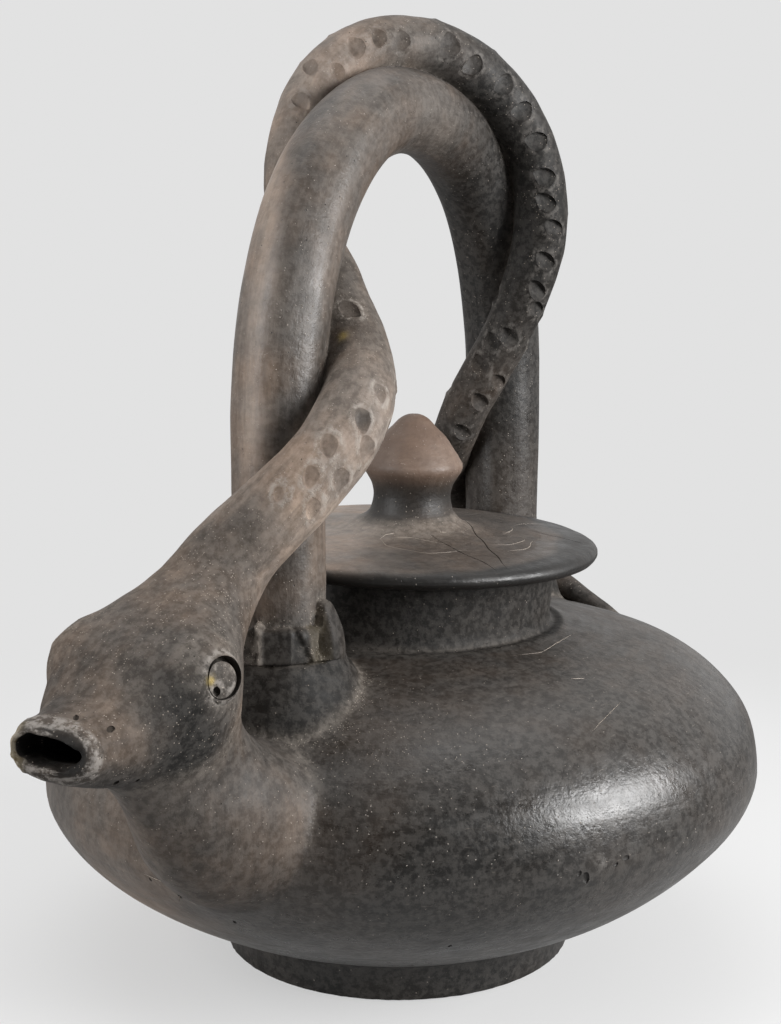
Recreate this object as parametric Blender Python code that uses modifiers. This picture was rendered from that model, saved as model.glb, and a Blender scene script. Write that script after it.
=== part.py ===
"""Serpent-spout teapot: a hollow burnished pot with a serpent wound round its arch handle, and a loose lid.

The origin is the centre of the flat foot. The spout points along -Y and +Z is up. Lengths are millimetres,
turned into metres where a mesh is made.
"""

import math

import bmesh
import bpy
import numpy as np
from mathutils import Matrix, Vector

MM = 0.001

# Pot
BELLY_R = 115.0
BELLY_Z = 58.5
UPPER_H = 52.4
LOWER_H = 56.6
UPPER_POWERS = (1.97, 2.65)
LOWER_POWERS = (1.86, 1.60)
WALL = 6.0
FLOOR = 9.5
FOOT_R = 57.0
FOOT_FLARE = 1.3
FOOT_EDGE = 1.2
NECK_R = 47.8
NECK_FLARE = 0.9
NECK_H = 20.2
NECK_WALL = 5.4
BELLY_TILT = math.tan(math.radians(1.5))
BELLY_SHIFT = 1.1
RIM_TILT = -math.tan(math.radians(1.6))
RIM_SHIFT = 2.3
TILT_TOWARD = math.radians(27.4)

# Lid
LID_GAP = 0.3
LID_R = 61.9
LID_EDGE = 5.5
LID_DOME = 3.4
KNOB_R = 15.7
KNOB_H = 44.9
WAIST_R = 13.4
FLANGE_FIT = 1.6
FLANGE_DEPTH = 8.0
FLANGE_WALL = 5.0

# Handle
LEG_Y = 77.1
LEG_H = 73.6
ARCH_X = 1.8
ARCH_Y = 1.2
ARCH_H = 92.3
ARCH_POWER = 2.12
HANDLE_R = 13.3
LEG_INTO = 10.0
SKIRT_OUT = 9.5
COLLAR_OUT = 4.9
COLLAR_RISE = 10.0
COLLAR_H = 11.5
PETALS = 7

# Serpent: share of the way along the handle, angle round it in degrees, radius
COIL = (
    (0.142, 38.0, 11.0),
    (0.190, 91.0, 10.7),
    (0.230, 133.0, 10.2),
    (0.270, 162.0, 9.6),
    (0.310, 184.0, 9.0),
    (0.370, 229.0, 8.8),
    (0.430, 266.0, 9.0),
    (0.500, 338.0, 9.1),
    (0.580, 393.0, 9.2),
    (0.660, 447.0, 9.2),
    (0.720, 486.0, 8.9),
    (0.770, 514.0, 8.6),
    (0.820, 544.0, 8.3),
    (0.870, 582.0, 7.9),
    (0.920, 648.0, 7.2),
    (0.965, 715.0, 6.2),
)
PRESSED_IN = 1.2
# Head rows, forward of the belly's front and above its widest height: x, forward, up,
# then half width, height above and height below the middle, and squareness
HEAD = (
    (1.8, 63.8, 52.3, 11.2, 5.8, 6.2, 2.4),
    (1.3, 60.5, 52.3, 12.0, 7.2, 8.2, 2.3),
    (0.6, 54.0, 51.9, 12.8, 8.4, 10.8, 2.2),
    (0.3, 46.0, 52.3, 14.8, 10.2, 14.4, 2.2),
    (0.0, 37.5, 54.7, 19.8, 13.2, 18.6, 2.5),
    (0.0, 27.5, 58.7, 24.4, 15.6, 22.0, 2.8),
    (0.0, 17.0, 63.9, 23.2, 15.6, 21.5, 2.5),
    (0.0, 5.5, 70.3, 17.8, 13.4, 17.5, 2.2),
)
# Nape rows, from the front leg's middle and the shoulder under it
NAPE = (
    (-1.2, 33.4, 34.8, 13.2, 10.6, 12.8, 2.0),
    (0.4, 25.0, 42.4, 11.4, 9.8, 11.6, 2.0),
)
# Tail rows, from the rear leg's middle and the shoulder under it: x, back, up, radius
TAIL = (
    (7.7, 18.7, 5.2, 5.4),
    (17.2, 15.7, 1.0, 4.7),
    (28.2, 12.2, -3.2, 3.8),
    (38.2, 8.2, -6.2, 2.8),
    (45.2, 4.7, -8.2, 1.8),
)
# Throat rows from the same front point: up, x, how far forward keel, middle and back are, and half width
THROAT = (
    (-13.5, 3.0, -12.0, -21.0, -29.0, 6.0),
    (-10.5, 3.4, -3.0, -19.0, -31.0, 15.5),
    (-5.5, 3.8, 6.5, -18.0, -33.0, 22.0),
    (1.0, 4.0, 14.5, -16.0, -35.0, 25.5),
    (8.5, 4.0, 21.0, -15.0, -37.0, 27.2),
    (17.5, 3.6, 26.5, -14.0, -38.0, 26.6),
    (25.5, 3.0, 31.5, -10.0, -36.0, 24.2),
    (31.5, 2.2, 35.5, -2.0, -27.0, 20.8),
    (37.5, 1.2, 38.0, 8.0, -13.0, 18.2),
    (45.5, 0.4, 37.5, 14.0, -6.0, 18.6),
    (53.5, 0.0, 32.0, 15.0, -3.0, 17.0),
)
KEEL_POWER = 1.72
BROW_AT = (18.4, 24.0, 64.6)
BROW_SIZE = (5.9, 9.5, 8.2)
EYE_AT = (24.2, 26.5, 64.2)
EYE_AXIS = (0.93, 0.34, 0.12)
EYE_R = 5.6
EYE_OUT = 1.0
EYE_DEEP = 5.0

# Spout channel rows from the same front point: x, forward, up, half width, half height
CHANNEL = (
    (1.2, 71.0, 52.7, 7.4, 2.9),
    (1.2, 62.0, 52.3, 7.3, 3.0),
    (0.9, 55.0, 51.9, 7.2, 4.2),
    (0.6, 45.0, 51.1, 8.4, 6.2),
    (0.4, 34.0, 48.3, 10.5, 8.6),
    (0.8, 23.5, 41.1, 11.5, 10.4),
    (2.4, 12.5, 31.1, 13.0, 11.6),
    (4.0, 1.0, 21.1, 16.0, 12.6),
    (4.4, -14.0, 13.0, 17.0, 13.4),
    (4.4, -33.0, 10.5, 16.0, 13.4),
)

BODY_STEPS = 50
HOLLOW_STEPS = 34
LID_STEPS = 40
TUBE_SIDES = 16


def new_collection(name, hidden=False):
    made = bpy.data.collections.new(name)
    made.hide_render = hidden
    bpy.context.scene.collection.children.link(made)
    return made


def add_mesh(name, points, faces, collection):
    """A mesh object from points in millimetres."""
    mesh = bpy.data.meshes.new(name)
    scaled = [tuple(MM * float(c) for c in p) for p in points]
    mesh.from_pydata(scaled, [], [tuple(map(int, f)) for f in faces])
    obj = bpy.data.objects.new(name, mesh)
    collection.objects.link(obj)
    return obj


def spun(name, profile, steps, collection):
    """A closed solid turned round Z from (radius, height) points, top centre down to bottom centre."""
    points = [(r, 0.0, z) for r, z in profile]
    obj = add_mesh(name, points, [], collection)
    obj.data.edges.add(len(points) - 1)
    for i, edge in enumerate(obj.data.edges):
        edge.vertices = (i, i + 1)
    screw = obj.modifiers.new("turned", "SCREW")
    screw.axis = "Z"
    screw.steps = steps
    screw.render_steps = steps
    screw.use_merge_vertices = True
    screw.merge_threshold = 0.00001
    bpy.context.view_layer.update()
    turned = bpy.data.meshes.new_from_object(obj.evaluated_get(bpy.context.evaluated_depsgraph_get()))
    obj.modifiers.clear()
    obj.data = turned
    outward(obj)
    return obj


def outward(obj):
    """Joins coincident points and turns every face out."""
    work = bmesh.new()
    work.from_mesh(obj.data)
    bmesh.ops.remove_doubles(work, verts=work.verts, dist=0.00001)
    bmesh.ops.recalc_face_normals(work, faces=work.faces)
    if work.calc_volume(signed=True) < 0:
        bmesh.ops.reverse_faces(work, faces=work.faces)
    work.to_mesh(obj.data)
    work.free()
    obj.data.shade_smooth()
    obj.data.set_sharp_from_angle(angle=math.radians(40))


def lofted(name, sections, collection):
    """A closed solid through equal-sided sections, each end closed by a fan to its middle."""
    sides = len(sections[0])
    points = [p for section in sections for p in section]
    faces = []
    for i in range(len(sections) - 1):
        for j in range(sides):
            k = (j + 1) % sides
            faces.append((i * sides + j, i * sides + k, (i + 1) * sides + k, (i + 1) * sides + j))
    for row in (0, len(sections) - 1):
        middle = np.mean(sections[row], axis=0)
        points.append(middle)
        at = len(points) - 1
        faces += [(at, row * sides + j, row * sides + (j + 1) % sides) for j in range(sides)]
    obj = add_mesh(name, points, faces, collection)
    outward(obj)
    return obj


def through(keys, values, at):
    """Smooth values at the places asked, through the given ones, with no overshoot."""
    keys = np.asarray(keys, float)
    values = np.asarray(values, float)
    step = np.diff(keys)
    slope = np.diff(values) / step
    grade = np.zeros(len(keys))
    grade[0] = slope[0]
    grade[-1] = slope[-1]
    for i in range(1, len(keys) - 1):
        if slope[i - 1] * slope[i] > 0:
            w1 = 2 * step[i] + step[i - 1]
            w2 = step[i] + 2 * step[i - 1]
            grade[i] = (w1 + w2) / (w1 / slope[i - 1] + w2 / slope[i])
    at = np.asarray(at, float)
    i = np.clip(np.searchsorted(keys, at) - 1, 0, len(step) - 1)
    t = (at - keys[i]) / step[i]
    return (
        values[i] * (1 + 2 * t) * (1 - t) ** 2
        + step[i] * grade[i] * t * (1 - t) ** 2
        + values[i + 1] * t * t * (3 - 2 * t)
        + step[i] * grade[i + 1] * t * t * (t - 1)
    )


def along(rows, count):
    """The rows of numbers resampled evenly by the distance between their first three."""
    rows = np.asarray(rows, float)
    gone = np.r_[0, np.cumsum(np.linalg.norm(np.diff(rows[:, :3], axis=0), axis=1))]
    at = np.linspace(0, gone[-1], count)
    return np.stack([through(gone, rows[:, k], at) for k in range(rows.shape[1])], -1)


def power_ring(sides, power):
    """Unit superellipse points, sideways and up."""
    turn = 2 * math.pi * np.arange(sides) / sides
    c = np.cos(turn)
    s = np.sin(turn)
    return np.sign(c) * np.abs(c) ** (2 / power), np.sign(s) * np.abs(s) ** (2 / power)


def belly_radius(z, inset=0.0):
    """Outer radius of the belly at a height, or that of its inner face."""
    top = z >= BELLY_Z
    radius_power, height_power = UPPER_POWERS if top else LOWER_POWERS
    height = (UPPER_H if top else LOWER_H) - inset
    left = 1 - (min(abs(z - BELLY_Z), height) / height) ** height_power
    return (BELLY_R - inset) * max(left, 0.0) ** (1 / radius_power)


def belly_height(radius, top=True, inset=0.0):
    """Height at which the belly, or its inner face, has a radius, above or below the widest part."""
    radius_power, height_power = UPPER_POWERS if top else LOWER_POWERS
    left = 1 - (min(radius / (BELLY_R - inset), 1.0)) ** radius_power
    rise = ((UPPER_H if top else LOWER_H) - inset) * left ** (1 / height_power)
    return BELLY_Z + (rise if top else -rise)


def neck_foot():
    """Height where the neck leaves the shoulder."""
    return belly_height(NECK_R + 1.0)


def rim_height():
    return neck_foot() + NECK_H


def shoulder_at_leg():
    return belly_height(LEG_Y)


def eased(value, low, high):
    share = min(max((value - low) / (high - low), 0.0), 1.0)
    return share * share * (3 - 2 * share)


def settled(x, y, z):
    """Where the hand-built pot's slightly tilted belly and rim bring a point of the true turned shape."""
    turn = eased(z, neck_foot() - 15.0, neck_foot() + 9.0)
    belly = eased(z, 4.0, 0.75 * BELLY_Z) * (1 - turn)
    across = math.cos(TILT_TOWARD)
    along_y = math.sin(TILT_TOWARD)
    slope = BELLY_TILT * belly + RIM_TILT * turn
    shift = belly * (BELLY_SHIFT - BELLY_TILT * (z - BELLY_Z))
    shift += turn * (RIM_SHIFT - RIM_TILT * (z - rim_height()))
    return x + shift * across, y + shift * along_y, z + slope * (x * across + y * along_y)


def settle(obj):
    for vertex in obj.data.vertices:
        vertex.co = [MM * c for c in settled(*(c / MM for c in vertex.co))]


def pot_shell(collection):
    """The solid of the pot's outer face, rim to foot."""
    rim = rim_height()
    base = neck_foot()
    top_r = NECK_R + NECK_FLARE
    neck = [
        (0.0, rim),
        (top_r - 1.6, rim),
        (top_r - 0.4, rim - 0.6),
        (top_r, rim - 2.4),
        (NECK_R, base + 3.8),
        (NECK_R + 0.4, base + 1.2),
    ]
    shoulder = [base - (base - BELLY_Z) * share for share in (0.035, 0.11, 0.22, 0.375, 0.57, 0.78, 1.0)]
    foot_top = belly_height(FOOT_R + FOOT_FLARE, top=False)
    lower = [BELLY_Z - (BELLY_Z - foot_top) * share for share in (0.2, 0.41, 0.59, 0.74, 0.88)]
    belly = [(belly_radius(z), z) for z in shoulder + lower]
    foot = [(FOOT_R + FOOT_FLARE, foot_top), (FOOT_R, FOOT_EDGE), (FOOT_R - FOOT_EDGE, 0.0), (0.0, 0.0)]
    shell = spun("pot", neck + belly + foot, BODY_STEPS, collection)
    settle(shell)
    return shell


def pot_hollow(collection):
    """The space inside the pot, run out through the mouth."""
    inner = NECK_R - NECK_WALL
    out_of_mouth = rim_height() + 12.0
    shoulder_top = belly_height(inner + 3.0, inset=WALL)
    floor_r = belly_radius(FLOOR + 5.5, WALL)
    heights = [shoulder_top - (shoulder_top - BELLY_Z) * share for share in (0.0, 0.14, 0.35, 0.63, 1.0)]
    heights += [BELLY_Z - (BELLY_Z - FLOOR - 5.5) * share for share in (0.33, 0.63, 0.85)]
    profile = [(0.0, out_of_mouth), (inner, out_of_mouth), (inner, neck_foot() + 1.0)]
    profile.append((inner + 0.8, shoulder_top + 1.6))
    profile += [(belly_radius(z, WALL), z) for z in heights]
    profile += [(floor_r - 2.0, FLOOR + 4.5), (floor_r - 14.0, FLOOR + 0.6), (0.0, FLOOR)]
    hollow = spun("hollow", profile, HOLLOW_STEPS, collection)
    settle(hollow)
    return hollow


def arch(count):
    """Points and outward directions along the handle's middle line, front to rear, and their shares."""
    turn = np.linspace(0, math.pi, 121)
    c = np.cos(turn)
    s = np.sin(turn)
    y = -LEG_Y * np.sign(c) * np.abs(c) ** (2 / ARCH_POWER)
    spring = shoulder_at_leg() + LEG_H
    z = spring + ARCH_H * s ** (2 / ARCH_POWER)
    leg = np.linspace(shoulder_at_leg(), spring, 20)[:-1]
    y = np.r_[np.full(len(leg), -LEG_Y), y, np.full(len(leg), LEG_Y)] + ARCH_Y
    z = np.r_[leg, z, leg[::-1]]
    gone = np.r_[0, np.cumsum(np.hypot(np.diff(y), np.diff(z)))]
    share = np.linspace(0, 1, count)
    y = np.interp(share, gone / gone[-1], y)
    z = np.interp(share, gone / gone[-1], z)
    middle = np.stack([np.full(count, ARCH_X), y, z], -1)
    way = np.gradient(middle, axis=0)
    way /= np.linalg.norm(way, axis=1)[:, None]
    out = np.cross((1.0, 0.0, 0.0), way)
    out *= np.sign(out[count // 2, 2])
    return middle, out, share


def handle(collection):
    """The arch as a tube, its feet let into the shoulder."""
    middle, _, _ = arch(31)
    first = middle[:1] - (0, 0, LEG_INTO)
    last = middle[-1:] - (0, 0, LEG_INTO)
    path = np.concatenate([first, middle, last])
    curve = bpy.data.curves.new("handle", "CURVE")
    curve.dimensions = "3D"
    curve.bevel_depth = HANDLE_R * MM
    curve.bevel_resolution = 6
    curve.use_fill_caps = True
    spline = curve.splines.new("POLY")
    spline.points.add(len(path) - 1)
    for point, at in zip(spline.points, path):
        point.co = (*(MM * at), 1.0)
    source = bpy.data.objects.new("handle", curve)
    collection.objects.link(source)
    bpy.context.view_layer.update()
    mesh = bpy.data.meshes.new_from_object(source.evaluated_get(bpy.context.evaluated_depsgraph_get()))
    obj = bpy.data.objects.new("handle_tube", mesh)
    collection.objects.link(obj)
    bpy.data.objects.remove(source)
    outward(obj)
    return obj


def skirt(name, y, petals, collection):
    """The clay sleeve at a handle foot, with a broken collar of petals where there are any."""
    sides = 36 if petals else 20
    shoulder = shoulder_at_leg()
    low = shoulder + COLLAR_RISE
    high = low + COLLAR_H
    out = HANDLE_R + SKIRT_OUT
    collar = HANDLE_R + COLLAR_OUT
    sections = []
    rows = (
        (out + 0.8, shoulder - LEG_INTO, 0.0, 0.0),
        (out, shoulder + 1.8, 0.0, 0.0),
        (out - 1.9, low - 3.2, 0.0, 0.0),
        (collar + 0.4, low, 0.3, 0.0),
        (collar + 0.6, low + 0.35 * COLLAR_H, 1.0, 0.0),
        (collar, high - 2.5, 1.2, 1.0),
        (collar - 2.0, high, 0.8, 1.6),
        (HANDLE_R - 1.5, high + 0.3, 0.0, 1.0),
    )
    for radius, z, lobes, lift in rows:
        section = []
        for i in range(sides):
            turn = 2 * math.pi * i / sides
            lobe = abs(math.cos(petals * turn / 2)) ** 0.6
            uneven = 0.6 + 0.4 * math.sin(2 * turn + 1.0)
            r = radius + (lobes * (1.6 * lobe - 1.1) if petals else 0.0)
            up = lift * (2.4 * lobe * uneven - 0.4) if petals else 0.0
            section.append((ARCH_X + r * math.sin(turn), y + r * math.cos(turn), z + up))
        sections.append(section)
    return lofted(name, sections, collection)


def coil(count=61):
    """Centre and radius along the serpent's two turns round the handle."""
    middle, out, share = arch(401)
    keys = np.array(COIL)
    at = np.linspace(keys[0, 0], keys[-1, 0], count)
    turn = np.radians(through(keys[:, 0], keys[:, 1], at))
    radius = through(keys[:, 0], keys[:, 2], at)
    centre = np.stack([np.interp(at, share, middle[:, k]) for k in range(3)], -1)
    normal = np.stack([np.interp(at, share, out[:, k]) for k in range(3)], -1)
    reach = HANDLE_R + radius - PRESSED_IN
    side = np.array((1.0, 0.0, 0.0))
    centre = centre + reach[:, None] * (normal * np.cos(turn)[:, None] + side * np.sin(turn)[:, None])
    return centre, radius


def from_front(x, forward, up):
    """A point given from the belly's front at its widest height."""
    return x, -BELLY_R - forward, BELLY_Z + up


def serpent(collection):
    """Head, coils and tail as one loft."""
    centre, radius = coil()
    leg = shoulder_at_leg()
    rows = [(*from_front(*row[:3]), *row[3:]) for row in HEAD]
    rows += [(ARCH_X + x, ARCH_Y - LEG_Y - forward, leg + up, *size) for x, forward, up, *size in NAPE]
    nape = len(rows)
    rows += [(*c, r, r, r, 2.0) for c, r in zip(centre, radius)]
    rows += [(ARCH_X + x, ARCH_Y + LEG_Y + back, leg + up, r, r, r, 2.0) for x, back, up, r in TAIL]
    head = along(rows[: nape + 2], 16)
    rest = along(rows[nape + 1 :], 56)
    rows = np.concatenate([head, rest[1:]])
    way = np.gradient(rows[:, :3], axis=0)
    way /= np.linalg.norm(way, axis=1)[:, None]
    side = np.array((1.0, 0.0, 0.0))
    sections = []
    for row, t in zip(rows, way):
        side = side - t * side.dot(t)
        side /= np.linalg.norm(side)
        up = np.cross(side, t)
        across, lift = power_ring(TUBE_SIDES, row[6])
        high = np.where(lift > 0, row[4], row[5]) * lift
        sections.append(row[:3] + row[3] * across[:, None] * side + high[:, None] * up)
    return lofted("serpent", sections, collection)


def throat(collection):
    """The bulb between head and belly: rounded behind, drawn out to a keel in front."""
    sections = []
    sides = 24
    across, ahead = power_ring(sides, 2.0)
    keel, front = power_ring(sides, KEEL_POWER)
    for up, x_middle, tip, middle, back, half in THROAT:
        x = x_middle + np.where(ahead > 0, keel, across) * half
        forward = np.where(ahead > 0, middle + front * (tip - middle), middle - ahead * (back - middle))
        sections.append([from_front(a, b, up) for a, b in zip(x, forward)])
    return lofted("throat", sections, collection)


def from_bmesh(name, work, collection):
    mesh = bpy.data.meshes.new(name)
    work.to_mesh(mesh)
    work.free()
    mesh.shade_smooth()
    obj = bpy.data.objects.new(name, mesh)
    collection.objects.link(obj)
    return obj


def brow(side, collection):
    """The bony swelling over an eye."""
    work = bmesh.new()
    bmesh.ops.create_uvsphere(work, u_segments=14, v_segments=8, radius=MM)
    x, y, z = from_front(side * BROW_AT[0], *BROW_AT[1:])
    size = Matrix.Diagonal((*BROW_SIZE, 1.0))
    work.transform(Matrix.Translation((MM * x, MM * y, MM * z)) @ size)
    return from_bmesh("brow", work, collection)


def eye(side, collection):
    """A shallow raised disc on the brow."""
    work = bmesh.new()
    deep = EYE_DEEP + EYE_OUT
    wide = MM * EYE_R
    bmesh.ops.create_cone(
        work, cap_ends=True, segments=16, radius1=wide, radius2=wide - MM * 0.6, depth=MM * deep
    )
    axis = Vector((side * EYE_AXIS[0], -EYE_AXIS[1], EYE_AXIS[2])).normalized()
    middle = Vector(from_front(side * EYE_AT[0], *EYE_AT[1:])) + axis * (EYE_OUT - deep / 2)
    work.transform(Matrix.Translation(MM * middle) @ axis.to_track_quat("Z", "Y").to_matrix().to_4x4())
    return from_bmesh("eye", work, collection)


def channel(collection):
    """The way through the spout, from the pot's inside out of the mouth."""
    rows = np.array([(*from_front(*row[:3]), *row[3:]) for row in CHANNEL])
    way = np.gradient(rows[:, 1:3], axis=0)
    way /= np.linalg.norm(way, axis=1)[:, None]
    across, lift = power_ring(16, 2.2)
    sections = []
    for (x, y, z, half, high), (dy, dz) in zip(rows, way):
        sections.append([(x + half * a, y - dz * high * b, z + dy * high * b) for a, b in zip(across, lift)])
    return lofted("channel", sections, collection)


def lid(collection):
    """Disc lid with a pointed knob above and a locating ring below, resting on the rim."""
    base = rim_height() + LID_GAP
    top = base + LID_EDGE
    knob = top + LID_DOME
    knob_h = base + KNOB_H - knob
    outer = NECK_R - NECK_WALL - FLANGE_FIT
    profile = [
        (0.0, knob + knob_h),
        (0.38 * KNOB_R, knob + 0.885 * knob_h),
        (0.69 * KNOB_R, knob + 0.80 * knob_h),
        (0.90 * KNOB_R, knob + 0.675 * knob_h),
        (KNOB_R, knob + 0.60 * knob_h),
        (KNOB_R - 0.1, knob + 0.555 * knob_h),
        (WAIST_R + 0.9, knob + 0.43 * knob_h),
        (WAIST_R, knob + 0.28 * knob_h),
        (WAIST_R + 1.2, knob + 0.15 * knob_h),
        (WAIST_R + 6.1, knob + 1.4),
        (WAIST_R + 14.0, knob - 0.18 * LID_DOME),
        (0.71 * LID_R, top + 0.41 * LID_DOME),
        (LID_R - 2.6, top),
        (LID_R - 0.6, top - 1.2),
        (LID_R, top - 0.53 * LID_EDGE),
        (LID_R - 1.4, base + 0.9),
        (LID_R - 4.5, base),
        (outer, base),
        (outer, base - FLANGE_DEPTH + 1.0),
        (outer - 1.0, base - FLANGE_DEPTH),
        (outer - FLANGE_WALL, base - FLANGE_DEPTH),
        (outer - FLANGE_WALL - 0.8, base),
        (0.0, base + 0.44 * LID_EDGE),
    ]
    cover = spun("lid", profile, LID_STEPS, collection)
    settle(cover)
    return cover


def boolean(target, other, operation):
    step = target.modifiers.new(other.name, "BOOLEAN")
    step.object = other
    step.operation = operation
    step.solver = "EXACT"
    other.display_type = "WIRE"


def clay(name, color, roughness):
    material = bpy.data.materials.new(name)
    material.use_nodes = True
    shader = next(n for n in material.node_tree.nodes if n.type == "BSDF_PRINCIPLED")
    shader.inputs["Base Color"].default_value = (*color, 1.0)
    shader.inputs["Roughness"].default_value = roughness
    return material


def main():
    for obj in list(bpy.data.objects):
        bpy.data.objects.remove(obj)
    teapot = new_collection("serpent_teapot")
    tools = new_collection("tools", hidden=True)
    pot = pot_shell(teapot)
    joined = [
        handle(tools),
        skirt("front_collar", ARCH_Y - LEG_Y, PETALS, tools),
        skirt("rear_collar", ARCH_Y + LEG_Y, 0, tools),
        serpent(tools),
        throat(tools),
        brow(1, tools),
        brow(-1, tools),
        eye(1, tools),
        eye(-1, tools),
    ]
    for piece in joined:
        boolean(pot, piece, "UNION")
    boolean(pot, pot_hollow(tools), "DIFFERENCE")
    boolean(pot, channel(tools), "DIFFERENCE")
    cover = lid(teapot)
    pot.data.materials.append(clay("pot_clay", (0.085, 0.073, 0.066), 0.42))
    cover.data.materials.append(clay("lid_clay", (0.080, 0.071, 0.066), 0.40))


main()
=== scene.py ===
"""Serpent-spout teapot of smoked and burnished clay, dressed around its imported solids.

Lengths are millimetres until a mesh is made. The spout points along -Y, +Z is up and the origin is
the centre of the flat foot.
"""

import logging
import math
import sys
from collections.abc import Iterator
from contextlib import contextmanager
from dataclasses import dataclass, field
from enum import Enum

import bmesh
import bpy
import numpy as np
from mathutils import Matrix, Vector, noise
from mathutils.bvhtree import BVHTree
from mathutils.kdtree import KDTree

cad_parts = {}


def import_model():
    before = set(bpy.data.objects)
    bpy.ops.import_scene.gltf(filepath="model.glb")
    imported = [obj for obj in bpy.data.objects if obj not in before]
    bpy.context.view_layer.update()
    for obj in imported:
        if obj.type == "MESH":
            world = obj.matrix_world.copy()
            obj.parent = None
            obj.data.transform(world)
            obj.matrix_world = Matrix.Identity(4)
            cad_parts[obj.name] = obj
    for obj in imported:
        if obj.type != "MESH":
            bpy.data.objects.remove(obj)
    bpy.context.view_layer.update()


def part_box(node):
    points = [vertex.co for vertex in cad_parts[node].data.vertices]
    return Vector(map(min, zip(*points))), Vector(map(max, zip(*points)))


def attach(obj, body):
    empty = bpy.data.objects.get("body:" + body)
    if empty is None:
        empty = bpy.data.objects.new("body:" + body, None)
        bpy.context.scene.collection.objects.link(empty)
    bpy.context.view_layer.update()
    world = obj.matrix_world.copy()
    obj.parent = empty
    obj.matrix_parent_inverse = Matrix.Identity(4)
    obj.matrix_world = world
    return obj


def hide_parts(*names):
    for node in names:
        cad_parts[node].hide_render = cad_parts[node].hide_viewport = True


MM = 0.001
LOG = logging.getLogger("teapot")

Array = np.ndarray
Triple = tuple[float, float, float]
Mesh = bpy.types.Mesh
Object = bpy.types.Object
Material = bpy.types.Material
Tree = bpy.types.NodeTree
Node = bpy.types.Node
Socket = bpy.types.NodeSocket


# Numbers along curves and surfaces


def eased(value: Array | float, low: float, high: float) -> Array:
    """Runs smoothly from 0 at low to 1 at high.

    Args:
        value: The number or numbers asked about.
        low: Where the result leaves 0.
        high: Where the result reaches 1.

    Returns:
        The eased share for each value.
    """
    share = np.clip((np.asarray(value, float) - low) / (high - low), 0.0, 1.0)
    return share * share * (3 - 2 * share)


def bell(distance: Array, width: float) -> Array:
    """A soft bump of height 1 at distance 0 that fades over width."""
    return np.exp(-((np.asarray(distance) / width) ** 2))


def through(keys: Array, values: Array, at: Array) -> Array:
    """Smooth values through the given ones, with no overshoot.

    Args:
        keys: Increasing places of the given values.
        values: The values there.
        at: The places asked about.

    Returns:
        The values at those places.
    """
    keys = np.asarray(keys, float)
    values = np.asarray(values, float)
    step = np.diff(keys)
    slope = np.diff(values) / step
    grade = np.zeros(len(keys))
    grade[0], grade[-1] = slope[0], slope[-1]
    for i in range(1, len(keys) - 1):
        if slope[i - 1] * slope[i] > 0:
            w1 = 2 * step[i] + step[i - 1]
            w2 = step[i] + 2 * step[i - 1]
            grade[i] = (w1 + w2) / (w1 / slope[i - 1] + w2 / slope[i])
    at = np.asarray(at, float)
    i = np.clip(np.searchsorted(keys, at) - 1, 0, len(step) - 1)
    t = (at - keys[i]) / step[i]
    return (
        values[i] * (1 + 2 * t) * (1 - t) ** 2
        + step[i] * grade[i] * t * (1 - t) ** 2
        + values[i + 1] * t * t * (3 - 2 * t)
        + step[i] * grade[i + 1] * t * t * (t - 1)
    )


def lengths_along(points: Array) -> Array:
    """Distance from the first point to each point of a path."""
    return np.r_[0, np.cumsum(np.linalg.norm(np.diff(points, axis=0), axis=1))]


def read_off(at: Array, keys: Array, table: Array) -> Array:
    """Every column of a table, looked up between its rising keys."""
    return np.stack([np.interp(at, keys, column) for column in table.T], -1)


def threaded(rows: Array, count: int) -> Array:
    """Rows of numbers drawn smoothly through the given ones, evenly apart.

    Args:
        rows: A position and any further numbers in each row.
        count: Number of new rows.

    Returns:
        The new rows, the first and last of them kept.
    """
    rows = np.asarray(rows, float)
    gone = lengths_along(rows[:, :3])
    at = np.linspace(0, gone[-1], count)
    return np.stack([through(gone, column, at) for column in rows.T], -1)


def along(rows: Array, spacing: float) -> Array:
    """Rows of numbers drawn smoothly through the given ones at a spacing."""
    length = lengths_along(np.asarray(rows, float)[:, :3])[-1]
    return threaded(rows, max(3, round(length / spacing) + 1))


def spaced(profile: Array, spacing: float) -> Array:
    """A flat polyline resampled at even distances, its ends kept."""
    profile = np.asarray(profile, float)
    gone = lengths_along(profile)
    return read_off(np.linspace(0, gone[-1], max(2, round(gone[-1] / spacing) + 1)), gone, profile)


def turns(count: int) -> Array:
    """Angles evenly round a circle."""
    return 2 * math.pi * np.arange(count) / count


def power_ring(sides: int, power: float) -> tuple[Array, Array]:
    """Unit superellipse points, sideways and up."""
    c, s = np.cos(turns(sides)), np.sin(turns(sides))
    return np.sign(c) * np.abs(c) ** (2 / power), np.sign(s) * np.abs(s) ** (2 / power)


def unit(vectors: Array) -> Array:
    """The vectors at length 1."""
    return vectors / np.maximum(np.linalg.norm(vectors, axis=-1, keepdims=True), 1e-9)


def ruffle(points: Array, size: float, seed: float, layers: int = 2) -> Array:
    """Smooth hand-made unevenness, the same on every run.

    Args:
        points: Places in millimetres.
        size: Rough length of one swell.
        seed: Shifts the pattern.
        layers: How many layers are added, each finer than the last.

    Returns:
        A number of about -1 to 1 for each place.
    """
    total = np.zeros(len(points))
    for layer in range(layers):
        scale = 2.0**layer / size
        shift = Vector((seed + 7.3 * layer, -2.1 * seed, 3.7 * seed))
        here = [noise.noise(Vector(p) * scale + shift) for p in points]
        total += np.array(here) / 1.6**layer
    return total


# Meshes


def added(name: str, data: bpy.types.ID) -> Object:
    """A new object in the scene."""
    obj = bpy.data.objects.new(name, data)
    bpy.context.scene.collection.objects.link(obj)
    return obj


@contextmanager
def opened(mesh: Mesh) -> Iterator[bmesh.types.BMesh]:
    """Opens a mesh for changes and writes them back."""
    work = bmesh.new()
    work.from_mesh(mesh)
    yield work
    work.to_mesh(mesh)
    work.free()


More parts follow.
